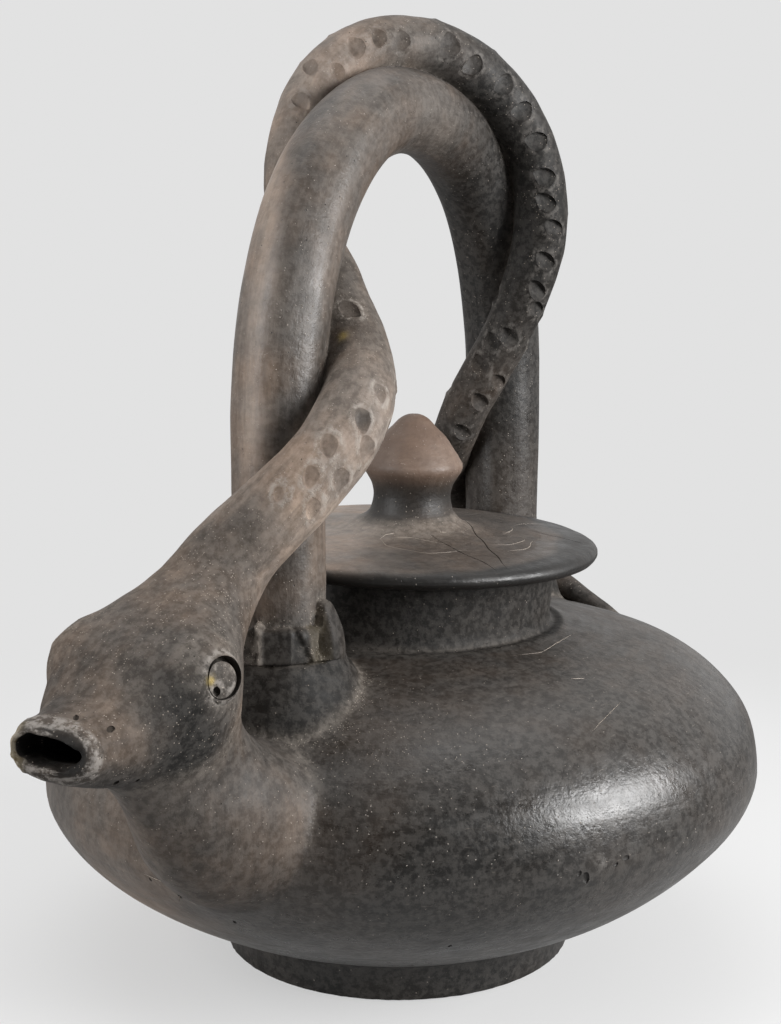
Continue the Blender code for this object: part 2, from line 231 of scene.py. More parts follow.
def mesh_object(name: str, points: Array, faces: list) -> Object:
    """A mesh object from points in millimetres, its faces turned out.

    Args:
        name: The object's name.
        points: Vertex places.
        faces: Lists of vertex numbers.

    Returns:
        The object, linked to the scene.
    """
    mesh = bpy.data.meshes.new(name)
    mesh.from_pydata((np.asarray(points) * MM).tolist(), [], faces)
    with opened(mesh) as work:
        bmesh.ops.recalc_face_normals(work, faces=work.faces)
        if work.calc_volume(signed=True) < 0:
            bmesh.ops.reverse_faces(work, faces=work.faces)
    return added(name, mesh)


def loft(name: str, sections: Array, ring: bool = False) -> Object:
    """A closed solid through sections of equal count.

    Args:
        name: The object's name.
        sections: Rings of points, as rows by sides by 3.
        ring: Whether the last joins the first; if not, each end is closed by a fan.

    Returns:
        The solid.
    """
    rows, sides = sections.shape[:2]
    i, j = np.meshgrid(np.arange(rows if ring else rows - 1), np.arange(sides), indexing="ij")
    n, k = (i + 1) % rows, (j + 1) % sides
    quads = np.stack([i * sides + j, i * sides + k, n * sides + k, n * sides + j], -1)
    points, faces = sections.reshape(-1, 3), quads.reshape(-1, 4).tolist()
    if not ring:
        points = np.concatenate([points, sections[:1].mean(1), sections[-1:].mean(1)])
        for row, at in ((0, rows * sides), (rows - 1, rows * sides + 1)):
            faces += [(at, row * sides + a, row * sides + (a + 1) % sides) for a in range(sides)]
    return mesh_object(name, points, faces)


def turned(name: str, profile: Array, steps: int) -> Object:
    """A closed solid turned round Z from (radius, height) points that start and end on the axis."""
    profile = np.asarray(profile, float)
    turn = turns(steps)
    r, z = profile[1:-1].T
    ring = [r[:, None] * np.cos(turn), r[:, None] * np.sin(turn), np.repeat(z[:, None], steps, 1)]
    obj = loft(name, np.stack(ring, -1))
    obj.data.vertices[-2].co.z = profile[0, 1] * MM
    obj.data.vertices[-1].co.z = profile[-1, 1] * MM
    return obj


def read(items: bpy.types.bpy_prop_collection, name: str, width: int, kind: type = float) -> Array:
    """One property of all of a mesh's items, as rows."""
    flat = np.empty(len(items) * width, kind)
    items.foreach_get(name, flat)
    return flat.reshape(-1, width)


def points_of(mesh: Mesh) -> Array:
    """The mesh's vertices in millimetres."""
    return read(mesh.vertices, "co", 3) / MM


def normals_of(mesh: Mesh) -> Array:
    """The mesh's vertex normals."""
    return read(mesh.vertex_normals, "vector", 3)


def place(mesh: Mesh, points: Array) -> None:
    """Moves the mesh's vertices to the given places in millimetres."""
    mesh.vertices.foreach_set("co", (points * MM).ravel())
    mesh.update()


def swell(obj: Object, rise: Array) -> None:
    """Moves each of the object's points outward by a distance in millimetres."""
    place(obj.data, points_of(obj.data) + normals_of(obj.data) * rise[:, None])


def plain_mesh(obj: Object) -> Object:
    """Puts what the object's modifiers make into its mesh and removes them."""
    bpy.context.view_layer.update()
    made = bpy.data.meshes.new_from_object(obj.evaluated_get(bpy.context.evaluated_depsgraph_get()))
    obj.modifiers.clear()
    obj.data = made
    return obj


def combine(target: Object, others: list[Object], operation: str) -> Object:
    """Joins or cuts closed solids and deletes the others.

    Args:
        target: The solid that changes.
        others: What is joined to it or cut from it.
        operation: UNION or DIFFERENCE.

    Returns:
        The target.
    """
    for other in others:
        step = target.modifiers.new(other.name, "BOOLEAN")
        step.object = other
        step.operation = operation
        step.solver = "MANIFOLD"
    plain_mesh(target)
    for other in others:
        bpy.data.objects.remove(other)
    return target


def relaxed(values: Array, edges: Array, weight: Array | float, rounds: int) -> Array:
    """Rows of numbers drawn toward their neighbours' mean, several times over.

    Args:
        values: A row for each vertex.
        edges: Pairs of vertex numbers.
        weight: How far each row is drawn in a round.
        rounds: Number of rounds.

    Returns:
        The new rows.
    """
    ends = np.concatenate([edges, edges[:, ::-1]])
    count = len(values)
    degree = np.maximum(np.bincount(ends[:, 0], minlength=count), 1)[:, None]
    for _ in range(rounds):
        total = [np.bincount(ends[:, 0], column[ends[:, 1]], count) for column in values.T]
        values = values + weight * (np.stack(total, -1) / degree - values)
    return values


def points_tree(points: Array) -> KDTree:
    """A search tree over points in millimetres."""
    tree = KDTree(len(points))
    for i, p in enumerate(points):
        tree.insert(Vector(p), i)
    tree.balance()
    return tree


def surface_of(obj: Object) -> BVHTree:
    """A search tree over the object's faces, in metres."""
    mesh = obj.data
    return BVHTree.FromPolygons([v.co for v in mesh.vertices], [tuple(f.vertices) for f in mesh.polygons])


def ball(name: str, at: Array, fineness: int, rough: float, *shaped: Matrix) -> Object:
    """An egg-shaped solid.

    Args:
        name: The object's name.
        at: Its middle in millimetres.
        fineness: How often its faces are halved.
        rough: How uneven it is.
        shaped: What turns and stretches a unit ball to it.

    Returns:
        The solid.
    """
    whole = Matrix.Scale(MM, 4) @ Matrix.Translation(Vector(at))
    for step in shaped:
        whole = whole @ step
    mesh = bpy.data.meshes.new(name)
    with opened(mesh) as work:
        bmesh.ops.create_icosphere(work, subdivisions=fineness, radius=1.0)
        for vertex in work.verts:
            vertex.co *= 1.0 + rough * noise.noise(vertex.co * 1.7 + Vector(at) * 0.37)
        work.transform(whole)
    return added(name, mesh)


def dimple(name: str, at: Array, way: Array, size: Triple, turn: float) -> Object:
    """A small egg-shaped cutter.

    Args:
        name: The object's name.
        at: Its middle.
        way: The direction of its third size.
        size: Half lengths in millimetres.
        turn: Degrees that it is turned about way.

    Returns:
        The cutter.
    """
    spin = Matrix.Rotation(math.radians(turn), 4, "Z") @ Matrix.Diagonal((*size, 1.0))
    return ball(name, at, 3, 0.14, Vector(way).to_track_quat("Z", "Y").to_matrix().to_4x4(), spin)


def scratch(name: str, path: Array, surface: BVHTree, wide: float, deep: float) -> Object:
    """A cutter for a line scored along a surface, thin at its ends.

    Args:
        name: The object's name.
        path: Places near the surface, in millimetres.
        surface: What is scored.
        wide: Half the line's width.
        deep: How far it goes in.

    Returns:
        The cutter.
    """
    found = [surface.find_nearest(Vector(p) * MM) for p in path]
    at = np.array([hit[0][:] for hit in found]) / MM
    out = unit(np.array([hit[1][:] for hit in found]))
    aside = unit(np.cross(out, np.gradient(at, axis=0)))
    sections = []
    for i, (p, n, a) in enumerate(zip(at, out, aside)):
        end = min(1.0, 0.2 + 4.0 * min(i, len(path) - 1 - i) / len(path))
        shape = ((-wide, 0.3), (-0.2 * wide, -deep), (0.2 * wide, -deep), (wide, 0.3))
        sections.append([p + a * x * end + n * (y * end if y < 0 else y) for x, y in shape])
    return loft(name, np.array(sections))


# The vessel


@dataclass(frozen=True)
class Form:
    """The round shape that the belly, neck and lid are turned to, and the lean that the hand gave it."""

    radius: float = 115.0
    middle: float = 58.5
    upper: float = 52.4
    lower: float = 56.6
    upper_powers: tuple[float, float] = (1.97, 2.65)
    lower_powers: tuple[float, float] = (1.86, 1.60)
    neck_r: float = 47.8
    neck_h: float = 20.2
    belly_tilt: float = math.tan(math.radians(1.5))
    belly_shift: float = 1.1
    rim_tilt: float = -math.tan(math.radians(1.6))
    rim_shift: float = 2.3
    toward: float = math.radians(27.4)

    def radius_at(self, z: Array | float, inset: float = 0.0) -> Array:
        """Outer radius of the belly at a height, or that of its inner face."""
        z = np.asarray(z, float)
        top = z >= self.middle
        height = np.where(top, self.upper, self.lower) - inset
        radius_power = np.where(top, self.upper_powers[0], self.lower_powers[0])
        height_power = np.where(top, self.upper_powers[1], self.lower_powers[1])
        left = 1 - (np.minimum(np.abs(z - self.middle), height) / height) ** height_power
        return (self.radius - inset) * np.maximum(left, 0.0) ** (1 / radius_power)

    def height_at(self, radius: Array | float, top: bool = True, inset: float = 0.0) -> Array:
        """Height at which the belly, or its inner face, has a radius, above or below the widest part."""
        radius_power, height_power = self.upper_powers if top else self.lower_powers
        left = 1 - np.minimum(np.asarray(radius) / (self.radius - inset), 1.0) ** radius_power
        rise = ((self.upper if top else self.lower) - inset) * left ** (1 / height_power)
        return self.middle + (rise if top else -rise)

    def rightward(self, x: Array | float, y: Array | float) -> Array | float:
        """How far to the right places lie in the photo's view."""
        return x * math.cos(self.toward) + y * math.sin(self.toward)

    @property
    def neck_foot(self) -> float:
        """Height where the neck leaves the shoulder."""
        return float(self.height_at(self.neck_r + 1.0))

    @property
    def rim(self) -> float:
        """Height of the rim."""
        return self.neck_foot + self.neck_h

    def settle(self, points: Array) -> Array:
        """Where the lean brings points of the true turned shape."""
        x, y, z = np.asarray(points, float).T
        turn = eased(z, self.neck_foot - 15.0, self.neck_foot + 9.0)
        belly = eased(z, 4.0, 0.75 * self.middle) * (1 - turn)
        slope = self.belly_tilt * belly + self.rim_tilt * turn
        shift = belly * (self.belly_shift - self.belly_tilt * (z - self.middle))
        shift = shift + turn * (self.rim_shift - self.rim_tilt * (z - self.rim))
        tall = z + slope * self.rightward(x, y)
        return np.stack([x + shift * math.cos(self.toward), y + shift * math.sin(self.toward), tall], -1)


FORM = Form()


@dataclass
class Vessel:
    """Belly, neck and foot, and the hollow inside them."""

    form: Form = FORM
    wall: float = 6.0
    floor: float = 9.5
    foot_r: float = 57.0
    foot_flare: float = 1.3
    foot_edge: float = 1.2
    neck_flare: float = 0.9
    neck_wall: float = 5.4
    bead: float = 0.5
    groove: float = 0.2
    steps: int = 220
    hollow_steps: int = 90
    row: float = 2.3
    unevenness: float = 0.42

    def profile(self) -> Array:
        """Outer radii and heights from the rim's middle down to the foot's."""
        form = self.form
        rim, base, inner = form.rim, form.neck_foot, form.neck_r
        top = inner + self.neck_flare
        lip = [(top - 2.6, rim), (top - 1.5, rim - 0.1), (top - 0.5, rim - 0.6), (top - 0.05, rim - 1.5)]
        neck = [(top, rim - 2.6), (inner + 0.1, base + 9.0), (inner, base + 4.6), (inner + 0.2, base + 2.2)]
        ring = np.arange(inner + 1.0, inner + 9.0, 0.45)
        relief = self.bead * bell(ring - inner - 4.3, 1.7) - self.groove * bell(ring - inner - 1.7, 0.8)
        seam = np.stack([ring, form.height_at(ring) + relief], -1)
        shoulder_r = np.linspace(inner + 9.0, 92.0, 60)
        shoulder = np.stack([shoulder_r, form.height_at(shoulder_r)], -1)
        foot_top = float(form.height_at(self.foot_r + self.foot_flare, top=False))
        side_z = np.linspace(float(form.height_at(92.0)), foot_top, 220)[1:]
        side = np.stack([form.radius_at(side_z), side_z], -1)
        foot = [(self.foot_r, self.foot_edge), (self.foot_r - 0.35, 0.35), (self.foot_r - 1.2, 0.0)]
        upper = np.concatenate([[(0.0, rim), (top - 20.0, rim)], lip, spaced(neck, 1.1), seam])
        belly = spaced(np.concatenate([shoulder, side]), self.row)
        under = [(self.foot_r - 20.0, 0.0), (20.0, 0.0), (0.0, 0.0)]
        return np.concatenate([upper, belly, foot, under])

    def shell(self) -> Object:
        """The solid of the pot's outer face, with the swells that burnishing left."""
        obj = turned("smoked_pot", self.profile(), self.steps)
        points, away = points_of(obj.data), normals_of(obj.data)
        dent = np.clip(0.5 + 0.55 * ruffle(points * (1, 1, 1.7), 46.0, 3.1), 0.0, 1.0)
        strokes = np.clip(0.5 + 0.6 * ruffle(points * (0.55, 0.55, 2.6), 17.0, 8.4, 1), 0.0, 1.0)
        z, rim = points[:, 2], self.form.rim
        free = eased(z, 1.5, 9.0) * (1 - 0.6 * eased(z, rim - 6, rim))
        points -= away * (free * (self.unevenness * dent + 0.16 * strokes))[:, None]
        place(obj.data, self.form.settle(points))
        return obj

    def hollow(self) -> Object:
        """The space inside the pot, run out through the mouth."""
        form, inset = self.form, self.wall
        inner = form.neck_r - self.neck_wall
        above = form.rim + 12.0
        top = float(form.height_at(inner + 3.0, inset=inset))
        base = self.floor + 5.5
        floor_r = float(form.radius_at(base, inset))
        neck = [(inner + 0.7, form.rim + 0.5), (inner + 0.15, form.rim - 1.2), (inner, form.rim - 2.4)]
        neck += [(inner, form.neck_foot + 1.0), (inner + 0.8, top + 1.6)]
        heights = np.linspace(top, base, 120)
        wall = spaced(np.stack([form.radius_at(heights, inset), heights], -1), 4.5)
        bottom = [(floor_r - 2.0, self.floor + 4.5), (floor_r - 14.0, self.floor + 0.6), (0.0, self.floor)]
        profile = np.concatenate([[(0.0, above), (inner + 0.7, above)], neck, wall, bottom])
        obj = turned("hollow", profile, self.hollow_steps)
        place(obj.data, form.settle(points_of(obj.data)))
        return obj


# The handle


@dataclass
class Arch:
    """The tall handle: two legs and the arch between them."""

    form: Form = FORM
    leg_y: float = 77.1
    leg_h: float = 73.6
    shift: tuple[float, float] = (1.8, 1.2)
    rise: float = 92.3
    power: float = 2.12
    radius: float = 13.3
    into: float = 10.0
    sides: int = 56
    rows: int = 200
    flats: float = 0.016
    handmade: float = 0.3

    @property
    def shoulder(self) -> float:
        """Height of the belly under a leg's middle."""
        return float(self.form.height_at(self.leg_y))

    @property
    def feet(self) -> tuple[float, float]:
        """Where the front and the rear leg's middle stand along Y."""
        return self.shift[1] - self.leg_y, self.shift[1] + self.leg_y

    def line(self, count: int) -> tuple[Array, Array, Array]:
        """Middle line, front to rear.

        Args:
            count: Number of points.

        Returns:
            The points, the outward directions there, and each point's share of the way.
        """
        turn = np.linspace(0, math.pi, 121)
        c, s = np.cos(turn), np.sin(turn)
        y = -self.leg_y * np.sign(c) * np.abs(c) ** (2 / self.power)
        spring = self.shoulder + self.leg_h
        z = spring + self.rise * s ** (2 / self.power)
        leg = np.linspace(self.shoulder, spring, 20)[:-1]
        y = np.r_[np.full(len(leg), -self.leg_y), y, np.full(len(leg), self.leg_y)] + self.shift[1]
        z = np.r_[leg, z, leg[::-1]]
        gone = np.r_[0, np.cumsum(np.hypot(np.diff(y), np.diff(z)))]
        share = np.linspace(0, 1, count)
        y = np.interp(share, gone / gone[-1], y)
        z = np.interp(share, gone / gone[-1], z)
        middle = np.stack([np.full(count, self.shift[0]), y, z], -1)
        way = unit(np.gradient(middle, axis=0))
        out = np.cross((1.0, 0.0, 0.0), way)
        return middle, out * np.sign(out[count // 2, 2]), share

    def tube(self) -> Object:
        """The handle, drawn out with long flat strokes and let into the shoulder."""
        middle, out, share = self.line(self.rows)
        middle = np.concatenate([middle[:1] - (0, 0, self.into), middle, middle[-1:] - (0, 0, self.into)])
        out = np.concatenate([out[:1], out, out[-1:]])
        share = np.concatenate([share[:1], share, share[-1:]])
        turn = turns(self.sides)
        drift = 0.5 * np.sin(5 * share) + 0.35 * np.sin(13 * share + 1)
        flat = 1 - self.flats * (1 + np.cos(6 * (turn[None] + drift[:, None]) + 0.4))
        radius = self.radius * flat
        side = np.array((1.0, 0.0, 0.0))
        around = out[:, None] * np.cos(turn)[None, :, None] + side * np.sin(turn)[None, :, None]
        sections = middle[:, None] + radius[:, :, None] * around
        bump = ruffle(sections.reshape(-1, 3), 22.0, 5.5).reshape(radius.shape)
        sections -= around * (self.handmade * np.clip(0.5 + 0.5 * bump, 0, 1))[:, :, None]
        return loft("handle", sections)


@dataclass
class Sleeve:
    """The clay sleeve at a handle foot, with the broken collar of facets where there is one."""

    arch: Arch
    y: float
    collar: bool
    ground: BVHTree
    out: float = 9.5
    collar_out: float = 4.9
    collar_rise: float = 10.0
    collar_h: float = 11.5
    petals: int = 7
    facing: float = 31.4
    sides: int = 240
    seed: float = 4.4

    def shoulder(self, x: Array, y: Array) -> Array:
        """Height of the belly under each place."""
        down = Vector((0, 0, -1))
        found = []
        for a, b in zip(x.ravel(), y.ravel()):
            hit = self.ground.ray_cast(Vector((a, b, 125.0)) * MM, down)
            found.append(hit[0].z / MM if hit[0] is not None else self.arch.shoulder)
        return np.array(found).reshape(x.shape)

    def collar_shape(self, turn: Array, share: Array) -> tuple[Array, Array]:
        """The broken collar, with two facets, a gouge, a stub and a fold where it shows most.

        Args:
            turn: Degrees from the side that shows most, to the right.
            share: How far up the collar each row is.

        Returns:
            Radii and heights to add, for every row and turn.
        """
        full = self.arch.radius + self.collar_out
        wrapped = ((turn + 180.0) % 360.0 - 180.0)[None]
        up = share[:, None]
        lobe = np.abs(np.cos(np.radians(self.petals * (wrapped - 14.0) / 2))) ** 0.6
        radius = full - 1.5 + 1.7 * lobe - 1.3 * up**4
        rise = 1.6 * lobe - 1.2 + 0 * up
        broken = eased(wrapped, -19.0, -17.3) * (1 - eased(wrapped, 41.5, 43.5))
        first = 15.95 / np.cos(np.radians(wrapped + 3.5))
        second = 15.55 / np.cos(np.radians(wrapped - 22.0))
        facets = first + (second - first) * eased(wrapped, 10.9, 12.3)
        rough = eased(wrapped, 31.0 - 15.0 * up, 35.0 - 15.0 * up)
        facets = facets + (16.5 - facets) * rough - 0.5 * eased(up, 0.9, 1.0)
        radius = radius + (facets - radius) * broken
        rise = rise + (-0.3 + 0.3 * bell(wrapped - 8.0, 12.0) - rise) * broken
        stub = eased(wrapped, -47.0, -38.0) * (1 - eased(wrapped, -20.0, -17.3))
        radius = radius + (full - 0.2 - 1.2 * up**3 - radius) * stub
        rise = rise + (1.7 - 0.2 * np.abs(wrapped + 25.0) - rise) * stub
        fold = eased(wrapped, 49.0, 53.0) * (1 - eased(wrapped, 78.0, 92.0))
        radius = radius + (full + 0.6 - 3.6 * up**2.4 - radius) * fold
        rise = rise + (6.5 - 0.008 * (wrapped - 63.0) ** 2 - rise) * fold
        radius = radius - 3.9 * bell(wrapped - 46.5, 4.2) * bell(up - 0.5, 0.48)
        grain = np.maximum(rough * broken * (1 - fold), stub)
        way = np.radians(wrapped)
        at = np.stack(np.broadcast_arrays(18 * np.cos(way), 18 * np.sin(way), 11 * up), -1).reshape(-1, 3)
        bumps = ruffle(at, 2.6, self.seed, 3).reshape(radius.shape)
        return radius + 0.75 * grain * bumps, rise

    def skirt(self, turn: Array, up: float) -> Array:
        """Radius of the skirt below the collar at a height over the shoulder."""
        full = self.arch.radius + self.out
        wrapped = (turn + 180.0) % 360.0 - 180.0
        heights = (-9.0, -1.0, 0.8, 2.2, 4.0, 6.0, 8.0, 9.6, 10.6, 12.0)
        flared = (-0.2, 0.1, 0.2, -0.9, -2.5, -4.1, -5.7, -6.8, -7.4, -9.2)
        folded = (-0.2, 0.1, 0.2, -0.6, -1.5, -2.4, -3.1, -3.7, -4.0, -4.2)
        open_side = eased(wrapped, -55.0, -16.0) * (1 - eased(wrapped, 37.0, 72.0)) * self.collar
        apart = np.interp(up, heights, flared) * open_side + np.interp(up, heights, folded) * (1 - open_side)
        way = np.radians(turn + self.facing)
        uneven = 0.5 * np.sin(way * 2 + 0.7) + 0.3 * np.sin(way * 3 + 2.0)
        return full + apart + uneven * (1 - eased(up, 2.0, 10.0))

    def solid(self, name: str) -> Object:
        """The sleeve as one solid, its hem following the shoulder."""
        low, high = self.collar_rise, self.collar_rise + self.collar_h
        turn = 360.0 * np.arange(self.sides) / self.sides
        way = np.radians(turn + self.facing)
        sideways, ahead = np.sin(way), -np.cos(way)
        base = self.arch.shoulder
        ones = np.ones(len(turn))
        sections = []
        for up in (-9.0, -1.0, 0.0, 0.8, 1.4, 2.2, 3.0, 4.0, 5.0, 6.0, 7.0, 8.0, 8.9, 9.6, 10.2, 10.7):
            r = self.skirt(turn, up)
            x, y = self.arch.shift[0] + r * sideways, self.y + r * ahead
            level = eased(up, 3.0, 10.0)
            z = (self.shoulder(x, y) + up) * (1 - level) + (base + up) * level
            sections.append(np.stack([x, y, z], -1))
        if self.collar:
            sections.append(self.ring(self.skirt(turn, 12.0), base + low + 1.3, sideways, ahead))
            share = np.array((0.0, 0.03, 0.1, 0.2, 0.3, 0.4, 0.5, 0.6, 0.7, 0.8, 0.88, 0.94, 0.98, 1.0))
            radii, lift = self.collar_shape(turn, share)
            for i, part in enumerate(share):
                z = base + low + 1.9 + part * (self.collar_h - 2.3) + lift[i] * part
                sections.append(self.ring(radii[i], z, sideways, ahead))
            sections.append(self.ring(radii[-1] - 1.1, base + high + 0.1 + lift[-1], sideways, ahead))
            inner = base + high + 0.5 + 1.1 * lift[-1]
            sections.append(self.ring(ones * (self.arch.radius - 1.6), inner, sideways, ahead))
        else:
            for inset, up in ((4.9, low + 3.0), (7.1, high - 2.0), (11.1, high + 2.0)):
                r = ones * (self.arch.radius + self.out - inset)
                sections.append(self.ring(r, base + up, sideways, ahead))
        return loft(name, np.array(sections))

    def ring(self, radius: Array, z: Array | float, sideways: Array, ahead: Array) -> Array:
        """Points round the leg at the given radii and heights."""
        x = self.arch.shift[0] + radius * sideways
        return np.stack([x, self.y + radius * ahead, np.broadcast_to(z, x.shape)], -1)


# The serpent


class Side(Enum):
    """The two sides of the serpent's head."""

    NEAR = 1
    FAR = -1


# Share of the way along the handle, angle round it in degrees, radius
COIL = (
    (0.142, 38.0, 11.0), (0.190, 91.0, 10.7), (0.230, 133.0, 10.2), (0.270, 162.0, 9.6), (0.310, 184.0, 9.0),
    (0.370, 229.0, 8.8), (0.430, 266.0, 9.0), (0.500, 338.0, 9.1), (0.580, 393.0, 9.2), (0.660, 447.0, 9.2),
    (0.720, 486.0, 8.9), (0.770, 514.0, 8.6), (0.820, 544.0, 8.3), (0.870, 582.0, 7.9), (0.920, 648.0, 7.2),
    (0.965, 715.0, 6.2),
)
# Head rows, forward of the belly's front and above its widest height: x, forward, up,
# then half width, height above and height below the middle, and squareness
HEAD = (
    (1.8, 63.8, 52.3, 11.2, 5.8, 6.2, 2.4), (1.3, 60.5, 52.3, 12.0, 7.2, 8.2, 2.3),
    (0.6, 54.0, 51.9, 12.8, 8.4, 10.8, 2.2), (0.3, 46.0, 52.4, 15.7, 10.2, 14.4, 2.2),
    (0.0, 37.5, 54.7, 19.9, 13.0, 18.6, 2.4), (0.0, 27.5, 58.7, 24.4, 15.6, 22.0, 2.8),
    (0.0, 17.0, 63.9, 23.2, 15.6, 21.5, 2.5), (-0.6, 5.5, 70.3, 17.4, 14.0, 17.5, 2.2),
)
# Nape rows, from the front leg's middle and the shoulder under it
NAPE = (
    (-2.6, 33.4, 34.8, 14.0, 12.8, 12.8, 2.0),
    (-1.2, 25.0, 42.4, 12.6, 12.2, 11.6, 2.0),
)
# Tail rows, from the rear leg's middle and the shoulder under it: x, back, up, radius
TAIL = (
    (7.7, 18.7, 5.2, 5.4), (17.2, 15.7, 1.0, 4.7), (28.2, 12.2, -3.2, 3.8), (38.2, 8.2, -6.2, 2.8),
    (45.2, 4.7, -8.2, 1.8),
)
# Throat rows from the same front point: up, x, how far forward keel, middle and back are, and half width
THROAT = (
    (-13.5, 3.0, -12.0, -21.0, -29.0, 6.0), (-10.5, 3.4, -3.0, -19.0, -31.0, 15.5),
    (-5.5, 3.8, 6.5, -18.0, -33.0, 22.0), (1.0, 4.0, 14.5, -16.0, -35.0, 25.5),
    (8.5, 4.0, 21.0, -15.0, -37.0, 27.2), (17.5, 3.6, 26.5, -14.0, -38.0, 26.6),
    (25.5, 3.0, 31.5, -10.0, -36.0, 24.2), (31.5, 2.2, 35.5, -2.0, -27.0, 20.8),
    (37.5, 1.2, 38.0, 8.0, -13.0, 18.2), (45.5, 0.4, 37.5, 14.0, -6.0, 18.6),
    (53.5, 0.0, 32.0, 15.0, -3.0, 17.0),
)
# Spout channel rows from the same front point: x, forward, up, half width, half height
CHANNEL = (
    (1.2, 71.0, 52.7, 7.4, 2.9), (1.2, 62.0, 52.3, 7.3, 3.0), (0.9, 55.0, 51.9, 7.2, 4.2),
    (0.6, 45.0, 51.1, 8.4, 6.2), (0.4, 34.0, 48.3, 10.5, 8.6), (0.8, 23.5, 41.1, 11.5, 10.4),
    (2.4, 12.5, 31.1, 13.0, 11.6), (4.0, 1.0, 21.1, 16.0, 12.6), (4.4, -14.0, 13.0, 17.0, 13.4),
    (4.4, -33.0, 10.5, 16.0, 13.4),
)
# Stamps that show most: share of the way, angle round the serpent, size, how deep
STAMPS = (
    (0.440, 108, 0.9, 0.6), (0.459, 78, 0.9, 0.7), (0.465, 123, 0.8, 0.6), (0.480, 99, 1.0, 0.8),
    (0.492, 93, 0.9, 0.8), (0.504, 102, 0.9, 0.8), (0.533, 90, 1.25, 1.0), (0.551, 99, 1.0, 1.0),
    (0.576, 78, 1.05, 1.0), (0.596, 75, 1.05, 1.0), (0.617, 69, 1.05, 1.0), (0.641, 63, 1.05, 1.0),
    (0.658, 60, 1.0, 1.0), (0.676, 30, 1.0, 1.0), (0.699, 24, 1.0, 1.0), (0.721, 9, 1.0, 1.0),
    (0.735, -18, 0.9, 0.9), (0.764, 3, 1.0, 1.0), (0.774, 30, 0.9, 0.9), (0.795, 15, 1.0, 1.0),
    (0.801, -54, 0.9, 0.9), (0.821, -48, 0.95, 1.0), (0.847, -57, 0.9, 1.0), (0.176, 6, 1.0, 0.85),
    (0.161, 15, 0.95, 0.85), (0.147, 24, 0.9, 0.75), (0.257, -120, 0.9, 0.6), (0.183, -30, 0.95, 0.75),
    (0.198, -33, 0.8, 0.6), (0.167, -39, 0.95, 0.7), (0.154, -18, 0.9, 0.7), (0.142, -24, 0.8, 0.6),
)
# Rows of stamps round the rest: share of the way, angle of the row
ROWS = (
    (0.142, 22.0), (0.176, 6.0), (0.257, -120.0), (0.350, -190.0), (0.440, -255.0), (0.500, -262.0),
    (0.550, -268.0), (0.600, -287.0), (0.650, -300.0), (0.700, -336.0), (0.750, -345.0), (0.850, -345.0),
    (0.960, -345.0),
)


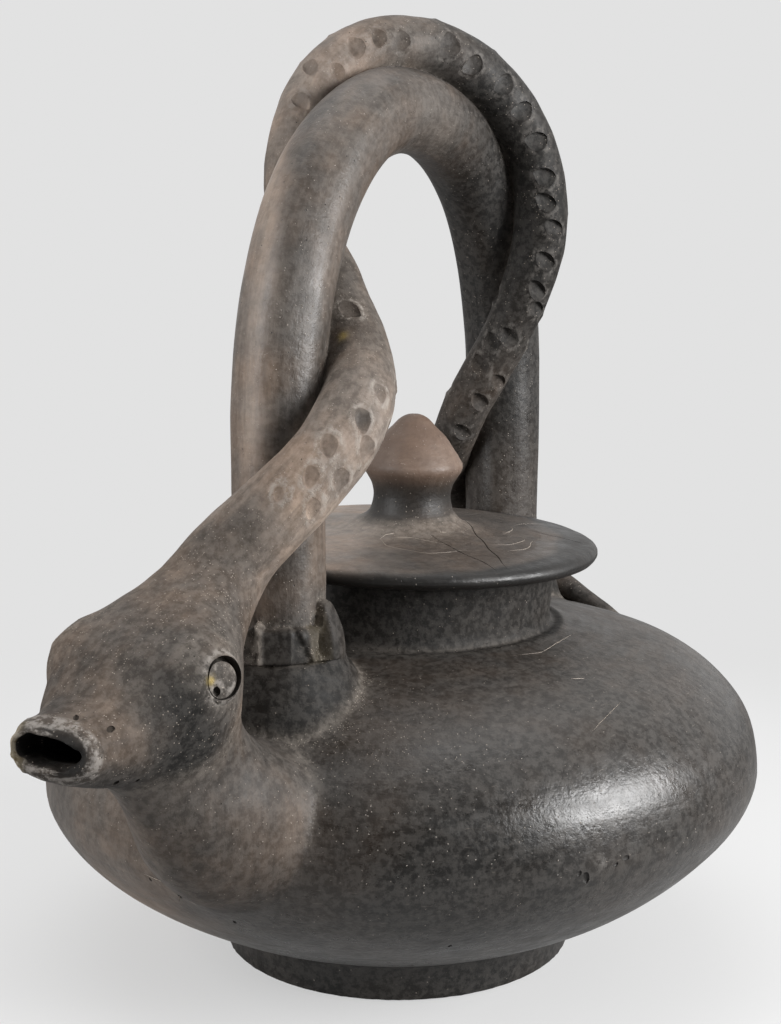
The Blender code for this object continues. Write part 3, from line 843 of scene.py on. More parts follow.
@dataclass
class Serpent:
    """Head, throat, two turns round the handle, and the tail laid on the shoulder."""

    arch: Arch
    pressed_in: float = 1.2
    sides: int = 60
    row: float = 1.45
    head_row: float = 1.2
    lip: float = 2.7
    lips_y: float = -179.0
    mouth_at: float = -1.3
    mouth_size: Triple = (8.3, 3.2, 2.9)
    nape_at: float = 90.0
    nape_reach: float = 26.0
    nape_rounds: int = 110
    keel_power: float = 1.72
    brow_at: Triple = (18.4, 24.0, 64.6)
    brow_size: Triple = (5.9, 9.5, 8.2)
    eye_at: Triple = (24.3, 25.5, 64.0)
    eye_axis: Triple = (0.93, 0.34, 0.12)
    eye_r: float = 6.0
    stamp_turn: tuple[float, float] = (-45.0, -27.0)
    shown: Triple = (0.46, -0.87, 0.17)
    pitch: float = 10.7
    row_turn: float = 52.0
    seed: int = 7

    def from_front(self, x: Array | float, forward: Array | float, up: Array | float) -> Array:
        """A point given from the belly's front at its widest height."""
        form = self.arch.form
        return np.stack(np.broadcast_arrays(x, -form.radius - forward, form.middle + up), -1).astype(float)

    def coil(self, count: int) -> tuple[Array, Array, Array, Array]:
        """The two turns round the handle.

        Args:
            count: Number of places.

        Returns:
            Centres, radii, the directions away from the handle, and shares of the way.
        """
        middle, out, share = self.arch.line(401)
        keys = np.array(COIL)
        at = np.linspace(keys[0, 0], keys[-1, 0], count)
        turn = np.radians(through(keys[:, 0], keys[:, 1], at))
        radius = through(keys[:, 0], keys[:, 2], at)
        side = np.array((1.0, 0.0, 0.0))
        away = unit(read_off(at, share, out) * np.cos(turn)[:, None] + side * np.sin(turn)[:, None])
        reach = self.arch.radius + radius - self.pressed_in
        return read_off(at, share, middle) + reach[:, None] * away, radius, away, at

    def rows(self) -> Array:
        """Middle, half width, heights above and below, and squareness, from mouth to tail."""
        centre, radius, _, _ = self.coil(61)
        leg, sx = self.arch.shoulder, self.arch.shift[0]
        near, far = self.arch.feet
        rows = [(*self.from_front(*row[:3]), *row[3:]) for row in HEAD]
        rows += [(sx + x, near - forward, leg + up, *size) for x, forward, up, *size in NAPE]
        nape = len(rows)
        rows += [(*c, r, r, r, 2.0) for c, r in zip(centre, radius)]
        rows += [(sx + x, far + back, leg + up, r, r, r, 2.0) for x, back, up, r in TAIL]
        head = along(rows[: nape + 2], self.head_row)
        rest = along(rows[nape + 1 :], self.row)
        joined = np.concatenate([head, rest[1:]])
        gone = lengths_along(joined[:, :3])
        ease = bell(gone - self.nape_at, self.nape_reach)[1:-1, None]
        for _ in range(self.nape_rounds):
            between = 0.25 * joined[:-2] + 0.5 * joined[1:-1] + 0.25 * joined[2:]
            joined[1:-1] += ease * (between - joined[1:-1])
        return joined

    def mouth(self, rows: Array) -> Array:
        """Rows that lead out of the mouth and round the lips over, then the given ones.

        Args:
            rows: Middle, half width, heights and squareness from the lips back.

        Returns:
            The same numbers and how much lower each row is on its near side, with the new rows first.
        """
        back = lengths_along(rows[:, :3])
        keep = back > self.lip + 0.5
        mouth = np.array((self.mouth_at, 0.0, 0.0, *self.mouth_size))
        lead = []
        for deep in (self.lip + 6.0, self.lip + 2.0):
            lead.append((*(rows[0, :3] + mouth[:3] + (0, deep, 0)), *mouth[3:], 2.2, 0.42))
        for angle in np.radians(np.arange(-80.0, 91.0, 10.0)):
            share = 0.5 + 0.5 * math.sin(angle)
            gone = self.lip * (1 - math.cos(angle))
            outer = read_off(gone, back, rows[:, :6])
            outer[3] += 0.35 * float(bell(gone - 1.0, 1.2))
            at = rows[0, :3] + mouth[:3] * (1 - share) + (outer[0] - rows[0, 0], gone, 0.0)
            size = mouth[3:] + (outer[3:] - mouth[3:]) * share
            lead.append((*at, *size, 2.3, 0.42 * (1 - share) ** 0.7 + 0.1 * share))
        rest = rows[keep]
        skew = 0.1 * (1 - eased(back[keep], self.lip, self.lip + 12.0))
        return np.concatenate([lead, np.column_stack([rest, skew])])

    def body(self) -> Object:
        """Head, coils and tail as one loft, a little uneven as the hand left it."""
        rows = self.mouth(self.rows())
        way = unit(np.gradient(rows[:, :3], axis=0))
        lead = next(i for i in range(10, len(rows)) if rows[i, 1] > rows[10, 1] + self.lip + 2.0)
        way[:lead] = way[lead]
        side = np.array((1.0, 0.0, 0.0))
        sections = []
        for row, t in zip(rows, way):
            side = side - t * side.dot(t)
            side = side / np.linalg.norm(side)
            up = np.cross(side, t)
            across, lift = power_ring(self.sides, row[6])
            high = np.where(lift > 0, row[4] * (1 - row[7] * across), row[5]) * lift
            sections.append(row[:3] + row[3] * across[:, None] * side + high[:, None] * up)
        obj = loft("serpent", np.array(sections))
        points = points_of(obj.data)
        rise = ruffle(points, 9.0, 2.2) * 0.22 + ruffle(points, 24.0, 6.0, 1) * 0.28 - 0.2
        lips = 1 - eased(points[:, 1], self.lips_y, self.lips_y + 9.0)
        swell(obj, rise + lips * (0.75 * ruffle(points, 5.5, 3.3) + 0.6 * ruffle(points, 2.2, 1.3)))
        return obj

    def throat(self) -> Object:
        """The bulb between head and belly: rounded behind, drawn out to a keel in front."""
        keys = np.array(THROAT)
        ups = np.arange(keys[0, 0], keys[-1, 0] + 0.01, 0.9)
        table = np.stack([through(keys[:, 0], keys[:, k], ups) for k in range(1, 6)], -1)
        across, ahead = power_ring(96, 2.0)
        keel, front = power_ring(96, self.keel_power)
        sections = []
        for up, (x_middle, tip, middle, back, half) in zip(ups, table):
            x = x_middle + np.where(ahead > 0, keel, across) * half
            forward = np.where(ahead > 0, middle + front * (tip - middle), middle - ahead * (back - middle))
            sections.append(self.from_front(x, forward, up))
        obj = loft("throat", np.array(sections))
        swell(obj, ruffle(points_of(obj.data) * (1, 1, 0.5), 13.0, 9.1) * 0.3 - 0.25)
        return obj

    def brow(self, side: Side) -> Object:
        """The bony swelling over an eye."""
        x, forward, up = self.brow_at
        middle = self.from_front(side.value * x, forward, up)
        return ball("brow", middle, 4, 0.0, Matrix.Diagonal((*self.brow_size, 1.0)))

    def eye_frame(self, side: Side) -> tuple[Array, Array, Array, Array]:
        """Middle of the eye, its axis outward, and the forward and upward directions across it."""
        x, forward, up = self.eye_at
        middle = self.from_front(side.value * x, forward, up)
        axis = unit(np.array((side.value * self.eye_axis[0], -self.eye_axis[1], self.eye_axis[2])))
        upward = unit(np.array((0.0, 0.0, 1.0)) - axis * axis[2])
        ahead = np.cross(axis, upward) * side.value
        return middle, axis, ahead, upward

    def eye(self, side: Side) -> Object:
        """A domed disc inside a low rim, both standing a little proud."""
        middle, axis, ahead, upward = self.eye_frame(side)
        r = self.eye_r
        profile = [(0.3, 1.1), (0.35 * r, 1.05), (0.6 * r, 0.85), (0.72 * r, 0.6), (0.8 * r, 0.5)]
        profile += [(0.88 * r, 0.7), (0.95 * r, 0.65), (r, 0.3), (r + 0.7, -0.6), (r, -4.5)]
        turn = turns(56)[:, None]
        around = np.cos(turn) * ahead + np.sin(turn) * upward
        return loft("eye", np.array([middle + radius * around + out * axis for radius, out in profile]))

    def eye_cuts(self, side: Side) -> list[Object]:
        """The groove round the disc, widest behind and above, and the small pit before it."""
        middle, axis, ahead, upward = self.eye_frame(side)
        turn = turns(64)
        far = 0.5 + 0.5 * np.cos(turn - math.radians(150.0))
        wide = 0.12 + 0.85 * far**1.7
        depth = 0.15 + 2.6 * far
        sections = []
        for angle, half, deep in zip(turn, wide, depth):
            around = math.cos(angle) * ahead + math.sin(angle) * upward
            at = middle + (0.83 * self.eye_r) * around
            shape = ((-1.0, 2.0), (-1.0, 0.1), (-0.55, -deep), (0.55, -deep), (1.0, 0.1), (1.0, 2.0))
            sections.append(np.array([at + a * half * around + b * axis for a, b in shape]))
        groove = loft("groove", np.array(sections), ring=True)
        pit = middle + 0.58 * self.eye_r * (0.7 * ahead - 0.72 * upward) + 0.5 * axis
        return [groove, dimple("pit", pit, axis, (1.15, 1.6, 1.6), 35.0)]

    def channel(self) -> Object:
        """The way through the spout, from the pot's inside out of the mouth."""
        keys = np.array([(*self.from_front(*row[:3]), *row[3:]) for row in CHANNEL])
        rows = along(keys, 2.0)
        way = unit(np.gradient(rows[:, 1:3], axis=0))
        across, lift = power_ring(40, 2.2)
        sections = []
        for (x, y, z, half, high), (dy, dz) in zip(rows, way):
            sections.append(np.stack([x + half * across, y - dz * high * lift, z + dy * high * lift], -1))
        return loft("channel", np.array(sections))

    def stamp_places(self) -> tuple[Array, Array, Array, Array]:
        """Where the stamps sit: places, outward and tailward directions, and size with depth."""
        centre, radius, away, share = self.coil(601)
        way = unit(np.gradient(centre, axis=0))
        gone = lengths_along(centre)
        away = unit(away - way * (away * way).sum(-1)[:, None])
        aside = np.cross(way, away)
        rows = np.array(ROWS)
        marks = [(s, float(a), size, deep) for s, a, size, deep in STAMPS]
        shown = np.array([(np.interp(s, share, gone), a) for s, a, _, _ in marks])
        rng = np.random.default_rng(self.seed)
        seen = (away * self.shown).sum(-1), (aside * self.shown).sum(-1)
        for row in range(-3, 4):
            start = gone[0] + self.pitch * (0.4 + 0.5 * (row % 2))
            for length in np.arange(start, gone[-1] - 4.0, self.pitch):
                s = float(np.interp(length, gone, share))
                angle = float(through(rows[:, 0], rows[:, 1], s)) + row * self.row_turn
                angle = (angle + rng.uniform(-6, 6) + 180.0) % 360.0 - 180.0
                apart = np.hypot(shown[:, 0] - length, (shown[:, 1] - angle + 180) % 360 * 0.16 - 28.8)
                faced = np.interp(s, share, seen[0]) * math.cos(math.radians(angle))
                faced += np.interp(s, share, seen[1]) * math.sin(math.radians(angle))
                if abs(angle) > 122.0 or apart.min() < 8.5 or faced > 0.1:
                    continue
                worn = rng.uniform(0.0, 1.0)
                early = 1 - float(eased(s, 0.40, 0.52))
                if worn < 0.25 + 0.35 * early:
                    continue
                marks.append((s, angle, rng.uniform(0.8, 1.05), rng.uniform(0.5, 0.9)))
                shown = np.concatenate([shown, [(length, angle)]])
        table = np.array(marks)
        count = np.arange(len(share))
        at = np.interp(table[:, 0], share, count)
        middle, up, side, way = (read_off(at, count, rows) for rows in (centre, away, aside, way))
        turn = np.radians(table[:, 1])[:, None]
        out = unit(up * np.cos(turn) + side * np.sin(turn))
        places = middle + out * np.interp(table[:, 0], share, radius)[:, None]
        spin = np.radians(np.where(table[:, 0] < 0.3, *self.stamp_turn))[:, None]
        tail = unit(way) * np.cos(spin) + np.cross(out, unit(way)) * np.sin(spin)
        return places, out, tail, table[:, 2:]


@dataclass
class StampTool:
    """The fingernail-shaped tool pressed along the serpent, as a Geometry Nodes tree."""

    along: float = 3.2
    across: float = 4.2
    thick: float = 0.95
    tilt: float = -23.0
    wall: float = 3.5
    lift: float = 0.6
    press: float = 1.0
    sway: float = 9.0
    seed: int = 11

    def tree(self) -> Tree:
        """Builds the tree that sets a scoop on every point and makes them real."""
        inputs = {"Geometry": (GEOMETRY, None)}
        for name in ("Along", "Across", "Thick", "Tilt", "Wall", "Lift", "Press", "Sway"):
            inputs[name] = (FLOAT, None)
        inputs |= {"Seed": (WHOLE, None), "Material": (MATERIAL, None)}
        tree, graph, given, end = group("stamps", inputs, {"Geometry": GEOMETRY}, "GeometryNodeTree")
        sphere = graph.add("GeometryNodeMeshUVSphere", Segments=22, Rings=14, Radius=1.0).outputs["Mesh"]
        size = graph.add("ShaderNodeCombineXYZ", X=given["Along"], Y=given["Across"], Z=given["Thick"])
        tip = graph.add("ShaderNodeCombineXYZ", Y=given["Tilt"]).outputs[0]
        scoop = graph.add("GeometryNodeTransform", Geometry=sphere, Scale=size.outputs[0]).outputs[0]
        drawn = self.walled(graph, scoop, given["Wall"], given["Tilt"])
        tipped = graph.add("GeometryNodeTransform", Geometry=drawn, Rotation=tip).outputs[0]
        out, tail = (self.stored(graph, name, "FLOAT_VECTOR") for name in ("outward", "tailward"))
        pushed = graph.times(self.stored(graph, "deep", "FLOAT"), given["Press"])
        height = graph.math("SUBTRACT", given["Lift"], pushed)
        move = graph.add("ShaderNodeVectorMath", operation="SCALE", Vector=out, Scale=height).outputs[0]
        raised = graph.add("GeometryNodeSetPosition", Geometry=given["Geometry"], Offset=move).outputs[0]
        axes = graph.add("FunctionNodeAxesToRotation", primary_axis="Z", secondary_axis="X")
        graph.feed(axes, out, tail)
        chance = graph.add("FunctionNodeRandomValue", data_type="FLOAT", Seed=given["Seed"])
        graph.link(graph.times(given["Sway"], -1.0), self.live(chance.inputs, "Min"))
        graph.link(given["Sway"], self.live(chance.inputs, "Max"))
        swing = graph.add("ShaderNodeCombineXYZ", Z=self.live(chance.outputs, "Value")).outputs[0]
        put = graph.add("GeometryNodeInstanceOnPoints", Points=raised, Instance=tipped)
        graph.link(axes.outputs[0], put.inputs["Rotation"])
        graph.link(self.stored(graph, "size", "FLOAT"), put.inputs["Scale"])
        swung = graph.add("GeometryNodeRotateInstances", Instances=put.outputs[0], Rotation=swing).outputs[0]
        real = graph.add("GeometryNodeRealizeInstances", Geometry=swung).outputs[0]
        clay = graph.add("GeometryNodeSetMaterial", Geometry=real, Material=given["Material"]).outputs[0]
        graph.link(clay, end.inputs["Geometry"])
        return tree

    @staticmethod
    def walled(graph: "Graph", scoop: Socket, wall: Socket, tilt: Socket) -> Socket:
        """Draws the scoop's upper half straight out, so that its floor slopes between upright walls.

        Args:
            graph: Where the nodes go.
            scoop: The scoop before it is tipped.
            wall: How far the upper half is drawn out.
            tilt: How far the scoop will be tipped.

        Returns:
            The drawn scoop.
        """
        height = graph.add("ShaderNodeSeparateXYZ", Vector=graph.add("GeometryNodeInputPosition").outputs[0])
        upper = graph.add("FunctionNodeCompare", operation="GREATER_THAN")
        graph.feed(upper, height.outputs["Z"], 1e-6)
        back = graph.times(graph.times(graph.math("SINE", tilt), wall), -1.0)
        rise = graph.times(graph.math("COSINE", tilt), wall)
        move = graph.add("ShaderNodeCombineXYZ", X=back, Z=rise).outputs[0]
        drawn = graph.add("GeometryNodeSetPosition", Geometry=scoop, Offset=move, Selection=upper.outputs[0])
        return drawn.outputs[0]

    @staticmethod
    def live(sockets: bpy.types.bpy_prop_collection, name: str) -> Socket:
        """The socket of that name that the node's settings leave in use."""
        return next(socket for socket in sockets if socket.enabled and socket.name == name)

    def stored(self, graph: "Graph", name: str, kind: str) -> Socket:
        """A value kept on the points under a name."""
        node = graph.add("GeometryNodeInputNamedAttribute", data_type=kind, Name=name)
        return self.live(node.outputs, "Attribute")

    def cutters(self, places: Array, out: Array, tail: Array, sizes: Array, clay: Material) -> Object:
        """The scoops to cut from the serpent.

        Args:
            places: Where each sits.
            out: Outward directions.
            tail: Directions toward the tail.
            sizes: Size and depth of each.
            clay: The material that the scoops carry.

        Returns:
            One mesh object with every scoop.
        """
        mesh = bpy.data.meshes.new("stamps")
        mesh.from_pydata((places * MM).tolist(), [], [])
        points = {"outward": out, "tailward": tail, "size": sizes[:, 0], "deep": sizes[:, 1] * MM}
        for name, values in points.items():
            store(mesh, name, values)
        obj = added("stamps", mesh)
        tree = self.tree()
        step = obj.modifiers.new("stamps", "NODES")
        step.node_group = tree
        given = {"Press": self.press, "Seed": self.seed, "Material": clay}
        for name in ("Along", "Across", "Thick", "Wall", "Lift"):
            given[name] = getattr(self, name.lower()) * MM
        for name in ("Tilt", "Sway"):
            given[name] = math.radians(getattr(self, name.lower()))
        for item in tree.interface.items_tree:
            if item.in_out == "INPUT" and item.name in given:
                step[item.identifier] = given[item.name]
        return plain_mesh(obj)


class Graph:
    """Puts nodes into a tree and joins them."""

    def __init__(self, tree: Tree) -> None:
        """Works on the given tree."""
        self.tree = tree

    def add(self, kind: str, **given: object) -> Node:
        """Adds a node.

        Args:
            kind: The node's type.
            given: Settings of the node, or inputs by name as sockets or values.

        Returns:
            The node.
        """
        node = self.tree.nodes.new(kind)
        for name, value in given.items():
            if name.islower():
                setattr(node, name, value)
            else:
                self.give(node.inputs[name.replace("_", " ")], value)
        return node

    def give(self, socket: Socket, value: object) -> None:
        """Joins a socket to the input, or sets the input to a value."""
        if isinstance(value, Socket):
            self.tree.links.new(value, socket)
        elif value is not None:
            socket.default_value = value

    def link(self, source: Socket, target: Socket) -> None:
        """Joins two sockets."""
        self.tree.links.new(source, target)

    def feed(self, node: Node, *sources: object, first: int = 0) -> Node:
        """Gives a node's inputs one after another, from the first on, and returns the node."""
        for i, source in enumerate(sources):
            self.give(node.inputs[first + i], source)
        return node

    def math(self, operation: str, a: object, b: object = None, clamp: bool = False) -> Socket:
        """The result of an operation on one or two numbers."""
        return self.feed(self.add("ShaderNodeMath", operation=operation, use_clamp=clamp), a, b).outputs[0]

    def times(self, a: object, b: object, clamp: bool = False) -> Socket:
        """The product of two numbers."""
        return self.math("MULTIPLY", a, b, clamp)

    def plus(self, a: object, b: object, clamp: bool = False) -> Socket:
        """The sum of two numbers."""
        return self.math("ADD", a, b, clamp)

    def span(self, value: object, low: float, high: float, bottom: float = 0.0, top: float = 1.0) -> Socket:
        """The value carried smoothly from one range to another."""
        node = self.add("ShaderNodeMapRange", interpolation_type="SMOOTHSTEP")
        return self.feed(node, value, low, high, bottom, top).outputs["Result"]

    def blend(self, share: object, a: object, b: object, kind: str = "MIX") -> Socket:
        """A colour between two others."""
        node = self.add("ShaderNodeMix", data_type="RGBA", blend_type=kind)
        self.give(node.inputs[0], share)
        return self.feed(node, a, b, first=6).outputs[2]

    def noise(
        self, at: object, scale: object, detail: float = 3.0, rough: float = 0.55, twist: float = 0.0
    ) -> Socket:
        """Smooth noise of 0 to 1 at the given places."""
        inputs = {"Vector": at, "Scale": scale, "Detail": detail, "Roughness": rough, "Distortion": twist}
        return self.add("ShaderNodeTexNoise", **inputs).outputs["Fac"]

    def dot(self, a: object, b: object) -> Socket:
        """How far two directions agree."""
        return self.feed(self.add("ShaderNodeVectorMath", operation="DOT_PRODUCT"), a, b).outputs["Value"]

    def ramp(self, at: object, stops: tuple) -> Socket:
        """A colour from rising stops, each a place and a colour."""
        node = self.tree.nodes.new("ShaderNodeValToRGB")
        line = node.color_ramp.elements
        while len(line) < len(stops):
            line.new(1.0)
        for element, (place, color) in zip(line, stops):
            element.position = place
            element.color = color
        self.give(node.inputs[0], at)
        return node.outputs["Color"]

    def attribute(self, name: str, vector: bool = False) -> Socket:
        """A value stored on the mesh."""
        node = self.tree.nodes.new("ShaderNodeAttribute")
        node.attribute_name = name
        return node.outputs["Vector" if vector else "Fac"]


# Finishes


def rgb(red: float, green: float, blue: float) -> tuple[float, float, float, float]:
    """A linear colour with full alpha."""
    return red, green, blue, 1.0


def group(
    name: str, inputs: dict[str, tuple], outputs: dict[str, str], kind: str = "ShaderNodeTree"
) -> tuple[Tree, Graph, dict, Node]:
    """An empty node group with its sockets.

    Args:
        name: The group's name.
        inputs: Socket type and starting value of each input.
        outputs: Socket type of each output.
        kind: What kind of tree it is.

    Returns:
        The tree, a graph on it, its input sockets and its output node.
    """
    tree = bpy.data.node_groups.new(name, kind)
    for label, (socket_type, value) in inputs.items():
        socket = tree.interface.new_socket(label, in_out="INPUT", socket_type=socket_type)
        if value is not None:
            socket.default_value = value
    for label, socket_type in outputs.items():
        tree.interface.new_socket(label, in_out="OUTPUT", socket_type=socket_type)
    graph = Graph(tree)
    return tree, graph, graph.add("NodeGroupInput").outputs, graph.add("NodeGroupOutput")


FLOAT, VECTOR, WHOLE = "NodeSocketFloat", "NodeSocketVector", "NodeSocketInt"
GEOMETRY, MATERIAL = "NodeSocketGeometry", "NodeSocketMaterial"


def burnish_group() -> Tree:
    """Long strokes of the burnishing stone: masks of streaks and of scratches, and a height."""
    inputs = {"Grain": (VECTOR, None), "Width": (FLOAT, 900.0), "Scratches": (FLOAT, 0.5)}
    tree, graph, given, end = group("burnish", inputs, {"Streaks": FLOAT, "Height": FLOAT, "Scratch": FLOAT})
    grain, width = given["Grain"], given["Width"]
    wide = graph.noise(grain, graph.times(width, 0.28), 2.0, 0.5, 0.15)
    fine = graph.noise(grain, width, 3.0, 0.6, 0.3)
    hair = graph.noise(grain, graph.times(width, 3.1), 2.0, 0.5, 0.5)
    scratch = graph.times(graph.span(hair, 0.66, 0.76), given["Scratches"])
    streaks = graph.plus(graph.times(wide, 0.6), graph.times(fine, 0.4))
    height = graph.math("SUBTRACT", streaks, graph.times(scratch, 0.15))
    graph.feed(end, streaks, height, scratch)
    return tree


def smoke_group() -> Tree:
    """Clouds of smoke from the firing over the given base, which also holds painted shade and highlights, as
    a mask of 0 to 1, and their small mottle.
    """
    inputs = {"Place": (VECTOR, None), "Clouds": (FLOAT, 22.0), "Soot": (FLOAT, 0.5), "Spread": (FLOAT, 0.5)}
    tree, graph, given, end = group("smoke", inputs, {"Smoke": FLOAT, "Mottle": FLOAT})
    at, clouds = given["Place"], given["Clouds"]
    broad = graph.noise(at, clouds, 3.0, 0.5, 0.6)
    small = graph.noise(at, graph.times(clouds, 6.5), 4.0, 0.6, 0.2)
    mottle = graph.plus(graph.times(broad, 0.65), graph.times(small, 0.35))
    swing = graph.times(graph.math("SUBTRACT", mottle, 0.5), graph.times(given["Spread"], 4.0))
    graph.feed(end, graph.plus(given["Soot"], swing, clamp=True), small)
    return tree


def grit_group() -> Tree:
    """Pale grains and small pores of the clay body, as masks and a height."""
    inputs = {"Place": (VECTOR, None), "Grain": (FLOAT, 1500.0)}
    inputs |= {"Amount": (FLOAT, 0.3), "Pores": (FLOAT, 0.2)}
    tree, graph, given, end = group("grit", inputs, {"Grains": FLOAT, "Pores": FLOAT, "Height": FLOAT})
    cell = graph.add("ShaderNodeTexVoronoi", Vector=given["Place"], Scale=given["Grain"], Randomness=1.0)
    picked = graph.add("ShaderNodeSeparateColor", Color=cell.outputs["Color"]).outputs[0]
    clumps = graph.noise(given["Place"], graph.times(given["Grain"], 0.11), 3.0, 0.65, 0.3)
    chance = graph.times(graph.span(clumps, 0.42, 0.68, 0.15, 1.0), given["Amount"])
    chosen = graph.math("LESS_THAN", picked, chance)
    close = graph.math("SUBTRACT", 1.0, graph.span(cell.outputs["Distance"], 0.16, 0.42))
    grains = graph.times(chosen, close)
    hole = graph.add("ShaderNodeTexVoronoi", Vector=given["Place"], Randomness=1.0)
    graph.link(graph.times(given["Grain"], 0.62), hole.inputs["Scale"])
    other = graph.add("ShaderNodeSeparateColor", Color=hole.outputs["Color"]).outputs[1]
    open_here = graph.math("LESS_THAN", other, given["Pores"])
    away = graph.span(hole.outputs["Distance"], 0.1, 0.3)
    pores = graph.times(open_here, graph.math("SUBTRACT", 1.0, away))
    graph.feed(end, grains, pores, graph.math("SUBTRACT", grains, pores))
    return tree


@dataclass(frozen=True)
class SmokedClay:
    """Burnished, smoke-blackened clay with its wear and dust, and the shade and highlights painted into its
    colour.
    """

    name: str
    groups: dict
    # From bare clay to black
    tones: tuple = (
        (0.0, rgb(0.290, 0.243, 0.207)), (0.25, rgb(0.178, 0.145, 0.123)), (0.5, rgb(0.088, 0.0725, 0.0615)),
        (0.75, rgb(0.0350, 0.0300, 0.0265)), (1.0, rgb(0.0105, 0.0097, 0.0090)),
    )
    warm: tuple = rgb(1.12, 1.0, 0.89)
    cool: tuple = rgb(0.99, 1.0, 0.995)
    black: tuple = rgb(0.016, 0.014, 0.012)
    grey: tuple = rgb(0.27, 0.250, 0.230)
    dust: tuple = rgb(0.38, 0.330, 0.280)
    ochre: tuple = rgb(0.40, 0.30, 0.10)
    clouds: float = 21.0
    spread: float = 0.27
    even: float = 0.075
    glossy: float = 0.5
    matt: float = 0.19
    burnished: float = 0.27
    dull: float = 0.62

    def use(self, graph: Graph, name: str, **given: object) -> Socket:
        """Places a shared group and returns its outputs."""
        node = graph.add("ShaderNodeGroup", node_tree=self.groups[name])
        for label, value in given.items():
            graph.give(node.inputs[label], value)
        return node.outputs

    def material(self) -> Material:
        """Builds the material."""
        made = bpy.data.materials.new(self.name)
        made.use_nodes = True
        tree = made.node_tree
        tree.nodes.clear()
        graph = Graph(tree)
        place = graph.add("ShaderNodeTexCoord").outputs["Object"]
        grain = graph.attribute("grain", vector=True)
        soot, worn = graph.attribute("soot"), graph.attribute("worn")
        dusty, pressed, scored = (graph.attribute(name) for name in ("dust", "pressed", "scored"))
        strokes = self.use(graph, "burnish", Grain=grain, Width=1100.0, Scratches=0.25)
        polish = graph.attribute("polish")
        calm = graph.span(soot, 0.6, 1.0, 1.0, 0.25)
        spread = graph.times(graph.span(polish, 0.0, 0.9, self.spread, self.even), calm)
        smoke = self.use(graph, "smoke", Place=place, Clouds=self.clouds, Soot=soot, Spread=spread)
        grit = self.use(graph, "grit", Place=place, Grain=1700.0, Amount=graph.attribute("grit"), Pores=0.012)
        color = graph.ramp(smoke["Smoke"], self.tones)
        lighter = graph.span(strokes["Streaks"], 0.35, 0.65, 0.82, 1.18)
        speckle = graph.noise(place, 420.0, 4.0, 0.7)
        fine = graph.span(speckle, 0.3, 0.7, -1.0, 1.0)
        fineness = graph.times(graph.span(polish, 0.0, 0.9, 0.20, 0.08), calm)
        fine = graph.times(fine, fineness)
        lighter = graph.times(lighter, graph.plus(fine, 1.0))
        tint = graph.add("ShaderNodeCombineColor", Red=lighter, Green=lighter, Blue=lighter).outputs[0]
        color = graph.blend(1.0, color, tint, "MULTIPLY")
        hue = graph.span(graph.noise(place, 34.0, 3.0, 0.6), 0.38, 0.62)
        color = graph.blend(1.0, color, graph.blend(hue, self.warm, self.cool), "MULTIPLY")
        patch = graph.times(worn, graph.span(speckle, 0.40, 0.60, 0.05, 1.0))
        color = graph.blend(patch, color, self.grey)
        film = graph.times(dusty, graph.span(speckle, 0.36, 0.64, 0.35, 0.85))
        color = graph.blend(film, color, self.dust)
        flecks = graph.times(graph.math("MAXIMUM", grit["Grains"], strokes["Scratch"]), 0.55)
        color = graph.blend(flecks, color, self.dust)
        color = graph.blend(scored, color, self.dust)
        # Darker on cut faces: partly the clay's own colour, partly painted shade in the cuts
        color = graph.blend(graph.times(pressed, 0.45, clamp=True), color, self.black)
        color = graph.blend(grit["Pores"], color, self.black)
        color = graph.blend(graph.attribute("ochre"), color, self.ochre)
        rough = graph.span(polish, 0.0, 1.0, self.dull, self.burnished)
        rough = graph.plus(rough, graph.span(strokes["Streaks"], 0.3, 0.7, -0.05, 0.08))
        rough = graph.plus(rough, graph.span(smoke["Mottle"], 0.3, 0.7, -0.04, 0.08))
        matt = graph.math("MAXIMUM", graph.math("MAXIMUM", patch, film), pressed, clamp=True)
        rough = graph.plus(rough, graph.times(matt, 0.3), clamp=True)
        skin = graph.noise(place, 620.0, 3.0, 0.6)
        height = graph.plus(graph.times(strokes["Height"], 0.35), graph.times(grit["Height"], 0.4))
        height = graph.plus(graph.plus(height, graph.times(skin, 0.45)), graph.times(smoke["Mottle"], matt))
        bump = graph.add("ShaderNodeBump", Strength=0.5, Distance=0.0007, Height=height)
        shader = graph.add("ShaderNodeBsdfPrincipled", Base_Color=color, Roughness=rough, IOR=1.5)
        graph.link(bump.outputs[0], shader.inputs["Normal"])
        graph.link(graph.span(polish, 0.0, 0.8, self.matt, self.glossy), shader.inputs["Specular IOR Level"])
        graph.add("ShaderNodeOutputMaterial", Surface=shader.outputs[0])
        return made


# The finished pieces


@dataclass
class Surface:
    """A shape's faces, ready to be measured from."""

    tree: BVHTree
    low: Array
    high: Array

    @classmethod
    def of(cls, obj: Object) -> "Surface":
        """Reads the object's mesh."""
        points = points_of(obj.data)
        return cls(surface_of(obj), points.min(0), points.max(0))

    def gap(self, points: Array, reach: float) -> Array:
        """Distance from each point to the surface, or reach where it is further."""
        found = np.full(len(points), reach)
        near = ((points > self.low - reach) & (points < self.high + reach)).all(1)
        hits = (self.tree.find_nearest(Vector(p), reach * MM)[3] for p in points[near] * MM)
        found[near] = [reach if hit is None else hit / MM for hit in hits]
        return found


def store(mesh: Mesh, name: str, values: Array, domain: str = "POINT") -> None:
    """Keeps a number or a vector for every vertex or face under a name."""
    vector = values.ndim == 2
    layer = mesh.attributes.new(name, "FLOAT_VECTOR" if vector else "FLOAT", domain)
    layer.data.foreach_set("vector" if vector else "value", values.astype(np.float32).ravel())


def smoothed_shading(mesh: Mesh, degrees: float, cut: Array) -> None:
    """Shades the mesh smooth, apart from edges sharper than the angle and those round the cut faces."""
    mesh.shade_smooth()
    mesh.set_sharp_from_angle(angle=math.radians(degrees))
    with opened(mesh) as work:
        for edge in work.edges:
            sides = [cut[face.index] for face in edge.link_faces]
            if len(sides) == 2 and sides[0] != sides[1]:
                edge.smooth = False


